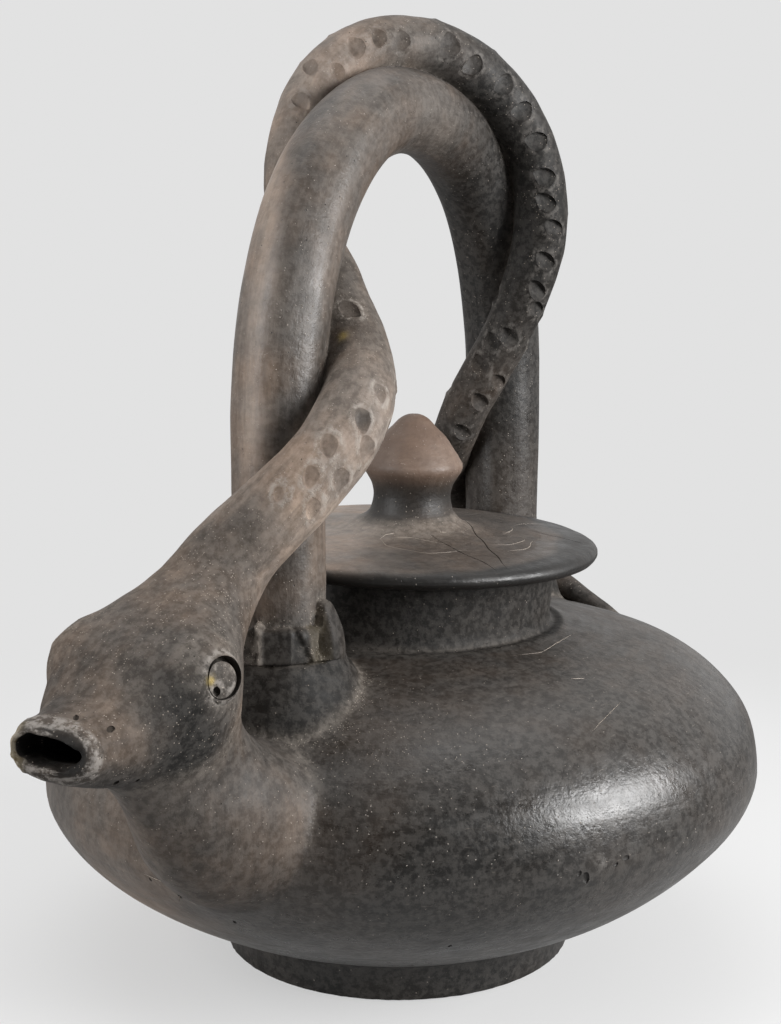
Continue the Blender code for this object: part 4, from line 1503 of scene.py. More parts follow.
def finish_piece(
    piece: Object, clay: Material, points: dict[str, Array], faces: dict[str, Array], sharp: float, cut: Array
) -> None:
    """Keeps the marks on a piece's mesh and gives it its finish.

    Args:
        piece: The pot or the lid.
        clay: The finish.
        points: Marks by name, one for each vertex.
        faces: Marks by name, one for each face.
        sharp: Edges sharper than this many degrees stay sharp.
        cut: Which faces lie in a cut.
    """
    mesh = piece.data
    for marks, domain in ((points, "POINT"), (faces, "FACE")):
        for name, values in marks.items():
            store(mesh, name, values, domain)
    mesh.materials.clear()
    mesh.materials.append(clay)
    smoothed_shading(mesh, sharp, cut)


def cut_faces(mesh: Mesh, cuts: list[Surface]) -> Array:
    """Which of the mesh's triangles lie on one of the cutters."""
    points = points_of(mesh)
    corners = read(mesh.polygons, "vertices", 3, np.int64)
    found = np.zeros(len(corners), bool)
    for cut in cuts:
        touching = cut.gap(points, 0.2) < 0.03
        likely = touching[corners].all(1)
        centres = points[corners[likely]].mean(1)
        found[likely] |= cut.gap(centres, 0.5) < 0.07
    return found


def wrapped_grain(points: Array, stretch: float) -> Array:
    """Places for strokes that run round the pot."""
    x, y, z = points.T
    angle = np.arctan2(y, x)
    up = 100.0 * np.arctan2(z - FORM.middle, np.maximum(np.hypot(x, y), 1.0))
    reach = 95.0 / stretch
    return np.stack([reach * np.cos(angle), reach * np.sin(angle), up], -1)


def tube_grain(points: Array, line: Array, stretch: float) -> Array:
    """Places for strokes that run along a tube.

    Args:
        points: Places on the tube.
        line: Its middle line.
        stretch: How much longer than wide the strokes are.

    Returns:
        A place for each point, squeezed along the tube.
    """
    tree = points_tree(line)
    index = np.array([tree.find(Vector(p))[1] for p in points])
    gone = lengths_along(line)
    way = unit(np.gradient(line, axis=0))
    off = points - line[index]
    ahead = (off * way[index]).sum(1)
    side = np.array((1.0, 0.0, 0.0))
    up = unit(np.cross(way, side))
    third = np.cross(up, way)
    across = np.stack([(off * up[index]).sum(1), (off * third[index]).sum(1)], -1)
    return np.stack([(gone[index] + ahead) / stretch, across[:, 0], across[:, 1]], -1)


# What is set on the serpent's head
ON_HEAD = ("brow near", "brow far", "eye near", "eye far")


@dataclass(frozen=True)
class Seam:
    """Clay drawn from two parts over each other, or one way, its reach running from one width to another."""

    parts: tuple[str, str]
    width: float
    other: float = 0.0
    axis: int = 1
    start: float = 0.0
    end: float = 1.0
    one_way: bool = False

    def ways(self) -> list[tuple[str, str]]:
        """Each part that clay is drawn from, with the one it is drawn over."""
        return [self.parts] if self.one_way else [self.parts, self.parts[::-1]]

    def widths(self, points: Array) -> Array:
        """How far the clay is drawn at each point."""
        if not self.other:
            return np.full(len(points), self.width)
        return self.width + (self.other - self.width) * eased(points[:, self.axis], self.start, self.end)


@dataclass(frozen=True)
class Join:
    """A seam that is stroked smooth: the parts, the reach, the rounds, and where along Y it fades in."""

    parts: tuple[str, str]
    reach: float
    rounds: int
    start: float = -400.0
    end: float = -390.0


@dataclass
class Pot:
    """The pot, with its handle and serpent luted on, cut hollow and stamped."""

    form: Form = FORM
    vessel: Vessel = field(default_factory=Vessel)
    arch: Arch = field(default_factory=Arch)
    stamp: StampTool = field(default_factory=StampTool)
    fine: float = 1.9
    # How far back along Y the head, the nape and the front coil reach
    head_back: float = -106.0
    nape_back: float = -80.0
    coil_back: float = -40.0
    seams: tuple = (
        Seam(("throat", "belly"), 3.0, 5.5, 2, 60.0, 88.0),
        Seam(("throat", "serpent"), 5.0, 9.0, 1, -165.0, -145.0),
        Seam(("serpent", "belly"), 1.6),
        Seam(("serpent", "handle"), 1.2),
        Seam(("brow near", "serpent"), 6.0),
        Seam(("brow far", "serpent"), 6.0),
        Seam(("front sleeve", "serpent"), 1.5, one_way=True),
        Seam(("front sleeve", "belly"), 2.5),
        Seam(("rear sleeve", "belly"), 2.5),
        Seam(("rear sleeve", "handle"), 2.5),
    )
    joins: tuple = (
        Join(("throat", "serpent"), 9.0, 60, -166.0, -146.0),
        Join(("throat", "serpent"), 2.5, 6),
        Join(("throat", "belly"), 2.0, 6),
        Join(("brow near", "serpent"), 3.0, 14),
        Join(("brow far", "serpent"), 3.0, 14),
        Join(("rear sleeve", "belly"), 1.6, 6),
        Join(("front sleeve", "belly"), 1.2, 4),
    )
    # Small losses: place, half lengths, turn
    chips: tuple = (
        ((92.5, -68.3, 58.3), (1.1, 2.0, 0.8), 15.0), ((91.0, -70.0, 60.0), (0.9, 0.7, 0.5), 60.0),
        ((99.9, -57.5, 61.6), (1.2, 0.8, 0.5), 0.0), ((97.8, -60.2, 60.4), (0.7, 0.5, 0.4), 40.0),
        ((58.9, -82.5, 37.2), (0.9, 0.5, 0.5), 70.0), ((5.2, -106.8, 43.0), (0.6, 0.9, 0.5), 10.0),
        ((-9.9, -111.1, 49.2), (0.7, 1.1, 0.5), 0.0), ((2.0, -114.0, 54.3), (0.5, 0.5, 0.4), 0.0),
        ((-19.7, -111.3, 52.1), (0.5, 0.6, 0.4), 30.0), ((9.0, -163.5, 101.0), (1.3, 0.7, 0.6), 80.0),
        ((11.5, -157.0, 97.5), (1.0, 0.6, 0.5), 100.0), ((12.0, -168.0, 116.0), (1.2, 0.8, 0.5), 20.0),
        ((4.0, -171.0, 120.5), (1.6, 0.7, 0.5), 60.0),
    )
    # Scratches through the blackened skin: places passed, half width
    scratches: tuple = (
        (((51.6, -25.6, 105.3), (57.5, -14.2, 105.0), (57.5, 10.5, 105.2)), 0.22),
        (((70.9, -27.3, 100.5), (74.2, -23.1, 99.9)), 0.3),
        (((84.7, -46.8, 91.2), (86.2, -26.7, 94.9)), 0.2),
        (((-9.9, -114.0, 49.2), (-15.5, -113.0, 52.5), (-22.0, -111.0, 53.5)), 0.25),
        (((-9.9, -114.0, 49.2), (-3.0, -113.0, 51.5), (4.0, -112.0, 54.5)), 0.25),
        (((-9.9, -114.0, 49.2), (-12.0, -112.0, 44.5)), 0.3),
        (((-9.9, -114.0, 49.2), (-4.5, -111.0, 45.5)), 0.25),
        (((-9.9, -114.0, 49.2), (-9.0, -114.0, 53.5)), 0.25),
    )
    # Yellow specks: place, size, how strong
    stains: tuple = (
        ((24.3, -144.9, 123.0), 1.0, 0.9), ((16.8, -65.4, 201.2), 1.2, 0.9),
        ((16.9, -65.8, 198.8), 0.9, 0.7), ((-9.6, -176.6, 101.0), 1.3, 0.8),
    )

    def parts(self) -> dict[str, Object]:
        """Every solid that is joined, before it is joined."""
        belly = self.vessel.shell()
        ground = surface_of(belly)
        serpent = self.serpent
        near, far = self.arch.feet
        made = {
            "belly": belly,
            "handle": self.arch.tube(),
            "front sleeve": Sleeve(self.arch, near, True, ground).solid("front_sleeve"),
            "rear sleeve": Sleeve(self.arch, far, False, ground).solid("rear_sleeve"),
            "serpent": serpent.body(),
            "throat": serpent.throat(),
        }
        for side in Side:
            made[f"brow {side.name.lower()}"] = serpent.brow(side)
            made[f"eye {side.name.lower()}"] = serpent.eye(side)
        return made

    @property
    def serpent(self) -> Serpent:
        """The serpent on this handle."""
        return Serpent(self.arch)

    def swell_seams(self, parts: dict[str, Object]) -> None:
        """Draws clay over the seams, so that luted pieces flow into each other."""
        surfaces = {name: Surface.of(obj) for name, obj in parts.items()}
        rise = {name: np.zeros(len(obj.data.vertices)) for name, obj in parts.items()}
        for seam in self.seams:
            for part, onto in seam.ways():
                points = points_of(parts[part].data)
                width = seam.widths(points)
                gap = surfaces[onto].gap(points, max(seam.width, seam.other))
                rise[part] = np.maximum(rise[part], width / 4 * np.maximum(1 - gap / width, 0.0) ** 2)
        for name, obj in parts.items():
            if rise[name].any():
                swell(obj, rise[name])

    def raise_stamp_lips(self, obj: Object, stamps: tuple) -> None:
        """Pushes up the clay that each stamp drove toward the tail."""
        places, out, tail, sizes = stamps
        points = points_of(obj.data)
        tree = points_tree(points)
        side = np.cross(out, tail)
        rise = np.zeros(len(points))
        for i, at in enumerate(places):
            for _, index, _ in tree.find_range(Vector(at), 6.5):
                off = points[index] - at
                a = (off @ tail[i] - 2.3 * sizes[i, 0]) / 1.1
                b = (off @ side[i]) / 3.2
                lift = 0.95 * sizes[i, 1] * math.exp(-a * a - b**4)
                rise[index] = max(rise[index], lift)
        swell(obj, rise)

    def build(self, clay: Material) -> Object:
        """Makes the whole pot.

        Args:
            clay: The finish that it carries.

        Returns:
            The finished piece.
        """
        parts = self.parts()
        stamps = self.serpent.stamp_places()
        self.swell_seams(parts)
        self.raise_stamp_lips(parts["serpent"], stamps)
        LOG.info("pot parts: %s", {name: len(obj.data.vertices) for name, obj in parts.items()})
        surfaces = {name: Surface.of(obj) for name, obj in parts.items()}
        hollow = self.vessel.hollow()
        channel = self.serpent.channel()
        scoops = self.stamp.cutters(*stamps, clay)
        eye_cuts = [cut for side in Side for cut in self.serpent.eye_cuts(side)]
        surfaces["hollow"] = Surface.of(hollow)
        surfaces["channel"] = Surface.of(channel)
        cuts = {"scoops": Surface.of(scoops)}
        cuts["eye"] = [Surface.of(cut) for cut in eye_cuts]
        eyes = [parts.pop(f"eye {side.name.lower()}") for side in Side]
        pot = parts.pop("belly")
        combine(pot, list(parts.values()), "UNION")
        self.stroke_joins(pot, surfaces)
        skin = surface_of(pot)
        lines = self.scored(skin)
        cuts["lines"] = [Surface.of(cut) for cut in lines]
        chips = self.chipped(skin)
        cuts["chips"] = [Surface.of(cut) for cut in chips]
        combine(pot, eyes, "UNION")
        combine(pot, [hollow, channel, scoops, *eye_cuts, *chips, *lines], "DIFFERENCE")
        self.tidy(pot)
        self.dress(pot, surfaces, cuts, clay)
        return pot

    def stroke_joins(self, pot: Object, surfaces: dict) -> None:
        """Gives the seams a finer mesh and strokes them smooth, as a thumb would."""
        for limit in (1.6 * self.fine, self.fine):
            points = points_of(pot.data)
            near = np.zeros(len(points))
            for join in self.joins:
                near = np.maximum(near, self.closeness(points, join, surfaces))
            with opened(pot.data) as work:
                close = [e for e in work.edges if near[e.verts[0].index] + near[e.verts[1].index] > 0.5]
                long = [e for e in close if e.calc_length() > limit * MM]
                bmesh.ops.subdivide_edges(work, edges=long, cuts=1)
                bmesh.ops.triangulate(work, faces=work.faces)
        points, edges = points_of(pot.data), read(pot.data.edges, "vertices", 2, np.int64)
        for join in self.joins:
            weight = 0.6 * self.closeness(points, join, surfaces)
            points = relaxed(points, edges, weight[:, None], join.rounds)
        place(pot.data, points)

    @staticmethod
    def closeness(points: Array, join: Join, surfaces: dict) -> Array:
        """How near each point is to a seam, as a share."""
        reach = 2.2 * join.reach
        first, second = (surfaces[name].gap(points, reach) for name in join.parts)
        return bell(np.maximum(first, second), join.reach) * eased(points[:, 1], join.start, join.end)

    def scored(self, surface: BVHTree) -> list[Object]:
        """Cutters for the scratches that show on the belly."""
        cuts = []
        for i, (path, wide) in enumerate(self.scratches):
            line = threaded(path, max(6, int(lengths_along(np.array(path))[-1] / 0.9)))
            cuts.append(scratch(f"scratch_{i}", line, surface, wide, 0.75 * wide))
        return cuts

    def chipped(self, surface: BVHTree) -> list[Object]:
        """Cutters for the small losses, each set on the surface."""
        cuts = []
        for spot, size, turn in self.chips:
            at, out = surface.find_nearest(Vector(spot) * MM)[:2]
            cuts.append(dimple("chip", np.array(at) / MM, np.array(out), size, turn))
        return cuts

    @staticmethod
    def merge(pot: Object) -> None:
        """Joins coincident points and leaves triangles only."""
        with opened(pot.data) as work:
            bmesh.ops.remove_doubles(work, verts=work.verts, dist=0.000005)
            bmesh.ops.triangulate(work, faces=work.faces)

    def tidy(self, pot: Object) -> None:
        """Keeps every point inside the solid model's box and joins coincident ones."""
        self.merge(pot)
        low, high = (np.array(corner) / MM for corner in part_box("pot"))
        margin = np.array((0.01, 0.01, 0.0))
        place(pot.data, np.clip(points_of(pot.data), low + margin, high - 0.01))

    def dress(self, pot: Object, surfaces: dict, cuts: dict, clay: Material) -> None:
        """Stores where the clay is sooty, worn, dusty or pressed in and where light and shade are painted,
        and gives it its finish.
        """
        mesh = pot.data
        points = points_of(mesh)

        def cloud(middle: Triple, size: float) -> Array:
            """How near each point is to the middle of a patch, as a share."""
            return bell(np.linalg.norm(points - middle, axis=1), size)

        names = list(surfaces)
        gaps = np.stack([surfaces[name].gap(points, 9.0) for name in names], 1)
        own = np.array(names)[gaps.argmin(1)]
        gap = dict(zip(names, gaps.T))
        seam = bell(np.sort(gaps, 1)[:, 1], 1.7)
        x, y, z = points.T
        inside = np.isin(own, ["hollow", "channel"])
        belly, throat, serpent, handle = (own == name for name in ("belly", "throat", "serpent", "handle"))
        sleeve = np.isin(own, ["front sleeve", "rear sleeve"])
        head = (serpent | np.isin(own, [*ON_HEAD])) & (y < self.head_back)
        nape = serpent & ~head & (y < self.nape_back) & (z < 160.0)
        scoop_gap = cuts["scoops"].gap(points, 2.0)
        lip = bell(scoop_gap - 0.8, 0.7) * (scoop_gap > 0.05)
        eye = np.zeros(len(points))
        for cut in cuts["eye"]:
            away = cut.gap(points, 2.0)
            eye = np.maximum(eye, bell(away - 0.9, 0.8) * (away > 0.05))
        # Image right runs along this direction
        right = self.form.rightward(x, y)
        # Smoke and painted light: 0 is bare buff clay and 1 is black; painted shade and painted highlights
        # are mixed in below
        left_low_brown_and_painted_light = eased(-right, 30.0, 80.0)
        # Belly flank: lighter towards the shoulder and in a patch beside the throat, and a darker cloud below
        # the highlight, a painted dark reflection of the dim room
        flank_with_painted_light = 0.91 - 0.12 * eased(z, 82.0, 100.0) + 0.26 * cloud((64.0, -90.0, 58.0), 21.0)
        flank_with_painted_light = flank_with_painted_light - 0.14 * cloud((36.0, -102.0, 76.0), 20.0)
        # Left side lighter, most at its low edge: partly browner clay, partly painted light from the left
        # lamp and the floor
        flank_with_painted_light = flank_with_painted_light - left_low_brown_and_painted_light * (0.40 + 0.44 * eased(-z, -52.0, -25.0))
        soot = np.full(len(points), 0.6)
        soot = np.where(belly, flank_with_painted_light, soot)
        # Neck and foot darkest: smoke-blackened, and partly painted shade under the lid and under the belly
        soot = np.where(belly & (z > self.form.neck_foot - 1), 1.06, soot)
        soot = np.where(belly & (z < 7.0), 1.25, soot)
        leg_x, leg_y = self.arch.shift[0], self.arch.feet[0]
        leg = self.form.rightward(leg_x, leg_y)
        off = right - leg - 0.1 * np.maximum(z - 190.0, 0.0)
        # Bands along the handle: a painted highlight down its left side, and darker streaks right of it
        painted_highlight_and_streak_bands = 0.48 * bell(off + 6.6, 3.6) - 0.20 * bell(off - 2.6, 3.4) - 0.06 * bell(off - 8.2, 2.2)
        upper = eased(z, 235.0, 280.0)
        soot = np.where(handle, 0.50 - painted_highlight_and_streak_bands * (1 - upper) + 0.10 * upper, soot)
        # Painted shade: the handle darker where the serpent lies close against it
        soot = np.where(handle & (gap["serpent"] < 6.0), soot + 0.2, soot)
        # Rear leg darker, and darker still high up inside the arch: partly soot, partly painted shade cast by
        # the serpent
        rear = handle & (y > 15.0)
        soot = np.where(rear, 0.74 + 0.5 * bell(z - 215.0, 60.0) * eased(y, 20.0, 45.0), soot)
        soot = np.where(serpent, 0.36, soot)
        right_coil = 0.42 + 0.60 * eased(y, -15.0, 40.0) - 0.28 * eased(-z, -215.0, -165.0)
        soot = np.where(serpent & (y > -25.0), right_coil, soot)
        # Painted light: the top of the coil on the front side lighter, where light falls from above
        soot = soot - 0.22 * serpent * (y < -10.0) * eased(z, 245.0, 265.0)
        front_coil = serpent & ~head & (y < self.coil_back)
        soot = np.where(front_coil & (z < 225.0), 0.50 - 0.18 * eased(-z, -205.0, -170.0), soot)
        smear = serpent * cloud((32.8, -82.2, 180.4), 2.4)
        soot = np.where(nape, 0.14 + 0.24 * eased(-z, -165.0, -130.0), soot) + 0.45 * smear
        smudge = cloud((22.0, -150.5, 118.5), 9.5)
        smudge = np.maximum(smudge, cloud((21.0, -147.0, 106.0), 10.0))
        # Head: darker towards the snout, with dark smudges of dirt; the top lighter, painted light from
        # above, and the underside by the jaw darker, painted shade
        brow = 0.07 * eased(-y, 158.0, 166.0) - 0.05 * eased(z, 125.0, 140.0)
        soot = np.where(head, 0.55 + brow + 0.55 * smudge + 0.16 * eased(-z, -112.0, -100.0), soot)
        soot = soot - 0.12 * head * cloud((8.5, -164.2, 118.6), 8.0)
        bulb = 0.58 + 0.10 * eased(right, -62.0, -40.0) + 0.14 * eased(-z, -60.0, -40.0)
        # Painted highlight: a lighter patch on the bulb's right, where the right lamp's highlight falls
        bulb = bulb - 0.16 * cloud((27.8, -112.0, 79.2), 12.0)
        soot = np.where(throat, bulb, soot)
        # Sleeves near-black: smoke, and partly painted shade at the handle's feet
        soot = np.where(sleeve, 1.0, soot)
        around = np.degrees(np.arctan2(x - leg_x, leg_y - y)) - Sleeve.facing
        collar = (own == "front sleeve") & (z > self.arch.shoulder + 11.0)
        facet = collar * eased(around, -20.0, -16.0) * (1 - eased(around, 26.0, 32.0))
        coarse = collar * (1 - facet) * (1 - eased(around, 50.0, 54.0)) * eased(around, -60.0, -50.0)
        soot = np.where(collar, 0.90 + 0.1 * facet, soot)
        soot = np.where(inside, 0.95, soot)
        lips = head & (y < -173.0)
        gullet = head & (gap["channel"] < 2.8) & (y > -178.2)
        soot = np.where(gullet, 1.0, soot)
        worn = np.where(lips, 0.75, 0.0)
        worn = np.maximum(worn, np.where(head, 0.08 * eased(-y, 150.0, 172.0), 0.0))
        worn = np.maximum(worn, np.where(serpent & ~head, lip * np.where(y < self.coil_back, 0.8, 0.4), 0.0))
        worn = np.maximum(worn, 0.7 * eye) * ~gullet
        worn = np.maximum(worn, 0.4 * belly * cloud((95.0, -64.0, 62.0), 2.6))
        dust = seam * np.where(sleeve | (belly & (gap["front sleeve"] < 9.0)), 0.3, 0.15) * (z > 70) * ~inside
        dust = np.maximum(dust, np.where(front_coil, 0.4 * lip, 0.0))
        dust = dust * np.where(throat & (z < 85), 0.3, 1.0)
        near_sleeve = bell(gap["front sleeve"], 5.0) * belly * (y < -60)
        neck_foot = bell(z - self.form.neck_foot, 0.7) * belly * (y < 0)
        gouge = eased(around, 28.0, 34.0)
        for more in (0.14 * near_sleeve, (0.3 - 0.25 * gouge) * coarse, 0.12 * neck_foot):
            dust = np.maximum(dust, more)
        dust = np.where(inside | gullet, 0.0, dust)
        grit = 0.02 + 0.22 * head + 0.12 * (nape | (serpent & ~head)) + 0.06 * handle + 0.07 * throat
        grit = np.maximum(grit, np.maximum(0.75 * dust, 0.7 * coarse))
        grit = grit + 0.25 * head * bell(x - 14.0, 12.0) * eased(y, -150.0, -120.0)
        grit = grit + 0.35 * belly * cloud((36.0, -84.0, 95.0), 20.0) + 0.4 * near_sleeve
        ochre = np.where(lips, 0.25 * eased(-x, 4.0, 10.0) * eased(-y, 175.5, 178.0), 0.0)
        ochre = np.maximum(ochre, 0.05 * coarse * gouge) * ~gullet
        for at, size, share in self.stains:
            ochre = np.maximum(ochre, share * cloud(at, size))
        polish = np.where(belly, 1.0 - 0.35 * left_low_brown_and_painted_light - 0.45 * eased(z, 88.0, 101.0), 0.0)
        polish = np.where(belly & ((z > self.form.neck_foot - 1) | (z < 7.0)), 0.25, polish)
        polish = np.where(handle, 0.62, polish)
        polish = np.where(facet > 0.5, 0.35, polish)
        polish = np.where(throat, 0.35, polish)
        polish = np.where(serpent & ~head & ~nape, 0.18 + 0.2 * upper, polish)
        polish = np.where(inside, 0.0, polish + 0.5 * smear) * (1 - np.clip(worn + dust, 0, 1))
        edges = read(mesh.edges, "vertices", 2, np.int64)
        marks = {"worn": worn, "dust": dust, "ochre": ochre, "grain": self.grain(points, own) * MM}
        for name, values, rounds in (("polish", polish, 6), ("soot", soot, 10), ("grit", grit, 4)):
            marks[name] = relaxed(values[:, None], edges, 0.5, rounds)[:, 0]
        stamped = cut_faces(mesh, [cuts["scoops"]])
        carved, chipped, scored = (cut_faces(mesh, cuts[name]) for name in ("eye", "chips", "lines"))
        scored &= ~chipped
        # Cut faces darker: partly the clay's own colour in the stamps, partly painted shade in the eye's
        # groove and the chips
        faces = {"pressed": np.maximum(0.12 * stamped + 1.0 * carved, 1.7 * chipped), "scored": 0.8 * scored}
        finish_piece(pot, clay, marks, faces, 38.0, stamped | carved | scored | chipped)

    def grain(self, points: Array, own: Array) -> Array:
        """Places for the burnishing strokes, which follow each part."""
        found = wrapped_grain(points, 9.0)
        middle, _, _ = self.arch.line(300)
        handle = own == "handle"
        found[handle] = tube_grain(points[handle], middle, 9.0) + 300.0
        rows = self.serpent.rows()[:, :3]
        serpent = np.isin(own, ["serpent", *ON_HEAD])
        found[serpent] = tube_grain(points[serpent], rows, 6.0) + 600.0
        throat = own == "throat"
        found[throat] = points[throat] * (1, 1, 1 / 7.0) + 900.0
        return found


@dataclass
class Lid:
    """The loose lid: a scratched disc with a pointed knob above and a locating ring below."""

    form: Form = FORM
    gap: float = 0.3
    radius: float = 61.9
    edge: float = 5.5
    dome: float = 3.4
    knob_r: float = 16.1
    knob_h: float = 44.9
    knob_shift: float = 1.8
    waist_r: float = 12.5
    neck_wall: float = 5.4
    flange_fit: float = 1.6
    flange_depth: float = 8.0
    flange_wall: float = 5.0
    steps: int = 220
    # The knob's outline, as shares of its radius and height
    knob_shape: tuple = (
        (0.0, 1.0), (0.1, 0.998), (0.19, 0.985), (0.29, 0.958), (0.44, 0.89), (0.65, 0.80), (0.82, 0.69),
        (0.945, 0.605), (1.0, 0.548), (0.99, 0.512), (0.91, 0.45),
    )
    # Incised lines and pale scratches, from the lid's middle
    lines: tuple = (
        ((6.0, 25.6), (30.0, -5.8), (55.6, -38.4)), ((8.7, -8.0), (32.0, -23.6), (54.8, -38.8)),
        ((33.7, 24.4), (45.0, 21.6), (56.0, 18.0)),
    )
    scuffs: tuple = (
        ((3.9, -24.4), (3.5, -16.0), (8.5, -9.5), (14.0, -7.5), (20.0, -8.5)),
        ((3.9, -24.4), (9.4, -29.6), (21.3, -31.0), (27.5, -25.5), (31.0, -19.0)),
        ((6.5, -22.0), (14.0, -18.5), (24.0, -18.0)),
        ((34.0, -7.0), (38.5, -1.0), (38.5, 7.0), (35.5, 12.0)), ((41.3, -12.0), (44.0, -4.4), (41.0, 9.0)),
        ((25.0, 32.0), (27.0, 38.5), (31.9, 42.5)), ((30.0, 10.0), (29.0, 20.0), (26.0, 27.0)),
    )

    def profile(self) -> Array:
        """Radii and heights from the knob's tip round to the underside's middle."""
        base = self.form.rim + self.gap
        top = base + self.edge
        knob = top + self.dome
        tall = base + self.knob_h - knob
        r, waist, outer = self.knob_r, self.waist_r, self.form.neck_r - self.neck_wall - self.flange_fit
        upper = [(share * r, knob + up * tall) for share, up in self.knob_shape]
        upper += [
            (waist + 0.6, knob + 0.37 * tall), (waist, knob + 0.28 * tall),
            (waist + 0.9, knob + 0.15 * tall), (waist + 4.2, knob + 2.2), (waist + 8.5, knob + 0.5),
            (waist + 14.0, knob - 0.18 * self.dome), (0.71 * self.radius, top + 0.41 * self.dome),
            (self.radius - 4.0, top + 0.28), (self.radius - 2.0, top - 0.25), (self.radius - 0.7, top - 1.3),
            (self.radius - 0.05, top - 0.5 * self.edge), (self.radius - 0.6, base + 1.5),
            (self.radius - 1.9, base + 0.5), (self.radius - 4.5, base),
        ]
        under = [
            (outer + 0.7, base), (outer, base - 0.7), (outer, base - self.flange_depth + 1.2),
            (outer - 1.2, base - self.flange_depth),
            (outer - self.flange_wall + 1.0, base - self.flange_depth),
            (outer - self.flange_wall, base - self.flange_depth + 1.0),
            (outer - self.flange_wall - 0.8, base - 0.8), (outer - self.flange_wall - 2.4, base + 0.3),
            (0.0, base + 0.44 * self.edge),
        ]
        smooth = threaded(upper, 110)
        smooth[0, 0] = 0.0
        return np.concatenate([smooth, spaced(under, 1.9)])

    def middle(self) -> Array:
        """Where the lean brings the lid's middle."""
        return self.form.settle(np.array([(0.0, 0.0, self.form.rim)]))[0]

    def score(self, over: BVHTree) -> tuple[list[Object], list[Object]]:
        """Cutters for the incised lines and for the pale scuffs."""
        made = []
        for tracks, wide, deep in ((self.lines, 0.34, 0.32), (self.scuffs, 0.36, 0.14)):
            cuts = []
            for i, track in enumerate(tracks):
                keys = np.column_stack([self.middle()[:2] + np.array(track), np.zeros(len(track))])
                length = lengths_along(keys)[-1]
                path = threaded(keys, max(8, int(length / 1.1)))
                at = np.linspace(0, length, len(path))
                path[:, :2] += 0.3 * np.sin(at * 0.35 + i)[:, None] * (0.6, 0.8)
                path = path[np.linalg.norm(path - self.middle() * (1, 1, 0), axis=1) < self.radius - 2.0]
                for p in path:
                    hit = over.ray_cast(Vector((p[0], p[1], 200.0)) * MM, Vector((0, 0, -1)))
                    p[2] = hit[0].z / MM
                path = path[path[:, 2] < self.form.rim + self.gap + self.edge + self.dome + 0.5]
                cuts.append(scratch(f"line_{i}", path, over, wide, deep))
            made.append(cuts)
        return made[0], made[1]

    def build(self, clay: Material) -> Object:
        """Makes the lid.

        Args:
            clay: The finish that it carries.

        Returns:
            The finished piece.
        """
        obj = turned("smoked_lid", self.profile(), self.steps)
        points, away = points_of(obj.data), normals_of(obj.data)
        dent = np.clip(0.5 + 0.55 * ruffle(points, 19.0, 12.4), 0, 1)
        above = eased(points[:, 2], self.form.rim + 0.4, self.form.rim + 1.4)
        points -= away * (0.34 * dent * above)[:, None]
        knob_foot = self.form.rim + self.gap + self.edge + self.dome
        slide = self.knob_shift * eased(points[:, 2], knob_foot - 2.0, knob_foot + 5.0)
        points[:, 0] += slide * math.cos(self.form.toward)
        points[:, 1] += slide * math.sin(self.form.toward)
        place(obj.data, self.form.settle(points))
        lines, scuffs = self.score(surface_of(obj))
        scored = [Surface.of(cut) for cut in lines], [Surface.of(cut) for cut in scuffs]
        combine(obj, lines + scuffs, "DIFFERENCE")
        low, high = (np.array(corner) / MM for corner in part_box("lid"))
        place(obj.data, np.clip(points_of(obj.data), low + 0.01, high - 0.01))
        Pot.merge(obj)
        self.dress(obj, scored, clay)
        return obj

    def dress(self, lid: Object, scored: tuple, clay: Material) -> None:
        """Stores where the lid is sooty, worn and dusty and where shade is painted under the knob, and gives
        it its finish.
        """
        mesh = lid.data
        points = points_of(mesh)
        r = np.linalg.norm(points[:, :2] - self.middle()[:2], axis=1)
        z = points[:, 2]
        base = self.form.rim + self.gap
        foot = base + self.edge + self.dome
        top = eased(z, base + self.edge - 1.5, base + self.edge) * (r > self.waist_r + 3.0)
        knob = (r < self.waist_r + 8.0) & (z > foot + 1.0)
        lines, scuffs = (cut_faces(mesh, cuts) for cuts in scored)
        above = z - foot
        # Knob: darker round its waist, painted shade under the overhanging ridge, and darker towards its tip
        knob_soot_and_shade = 0.45 + 0.52 * bell(above - 9.5, 7.0) + 0.16 * eased(z, foot + 22.0, foot + 30.0)
        soot = np.where(knob, knob_soot_and_shade, 0.64)
        soot = np.where(~knob & (z < base + self.edge - 0.6), 1.1, soot)
        soot = np.where(z < base + 0.3, 0.92, soot)
        dust = 0.30 * bell(r - self.waist_r - 6.0, 6.0) * (z > base + self.edge) * (z < foot + 4)
        x, y = (points[:, :2] - self.middle()[:2]).T
        soot = soot - 0.44 * top * eased(-x - 0.4 * y, -15.0, 30.0)
        edges = read(mesh.edges, "vertices", 2, np.int64)
        marks = {
            "soot": relaxed(soot[:, None], edges, 0.5, 6)[:, 0],
            "polish": 0.5 + 0.4 * (z < base + self.edge) + 0.3 * bell(above - 14.0, 5.0),
            "worn": 0.06 * top,
            "dust": dust,
            "ochre": 0.35 * knob * eased(z, foot + 13.0, foot + 19.0),
            "grit": 0.05 + 0.1 * knob + 0.2 * dust,
            "grain": (wrapped_grain(points - (*self.middle()[:2], 70.0), 9.0) + 1200.0) * MM,
        }
        # Incised lines darker, painted shade in their grooves; scuffs pale
        finish_piece(lid, clay, marks, {"pressed": 0.6 * lines, "scored": 0.7 * scuffs}, 34.0, lines | scuffs)


# The studio


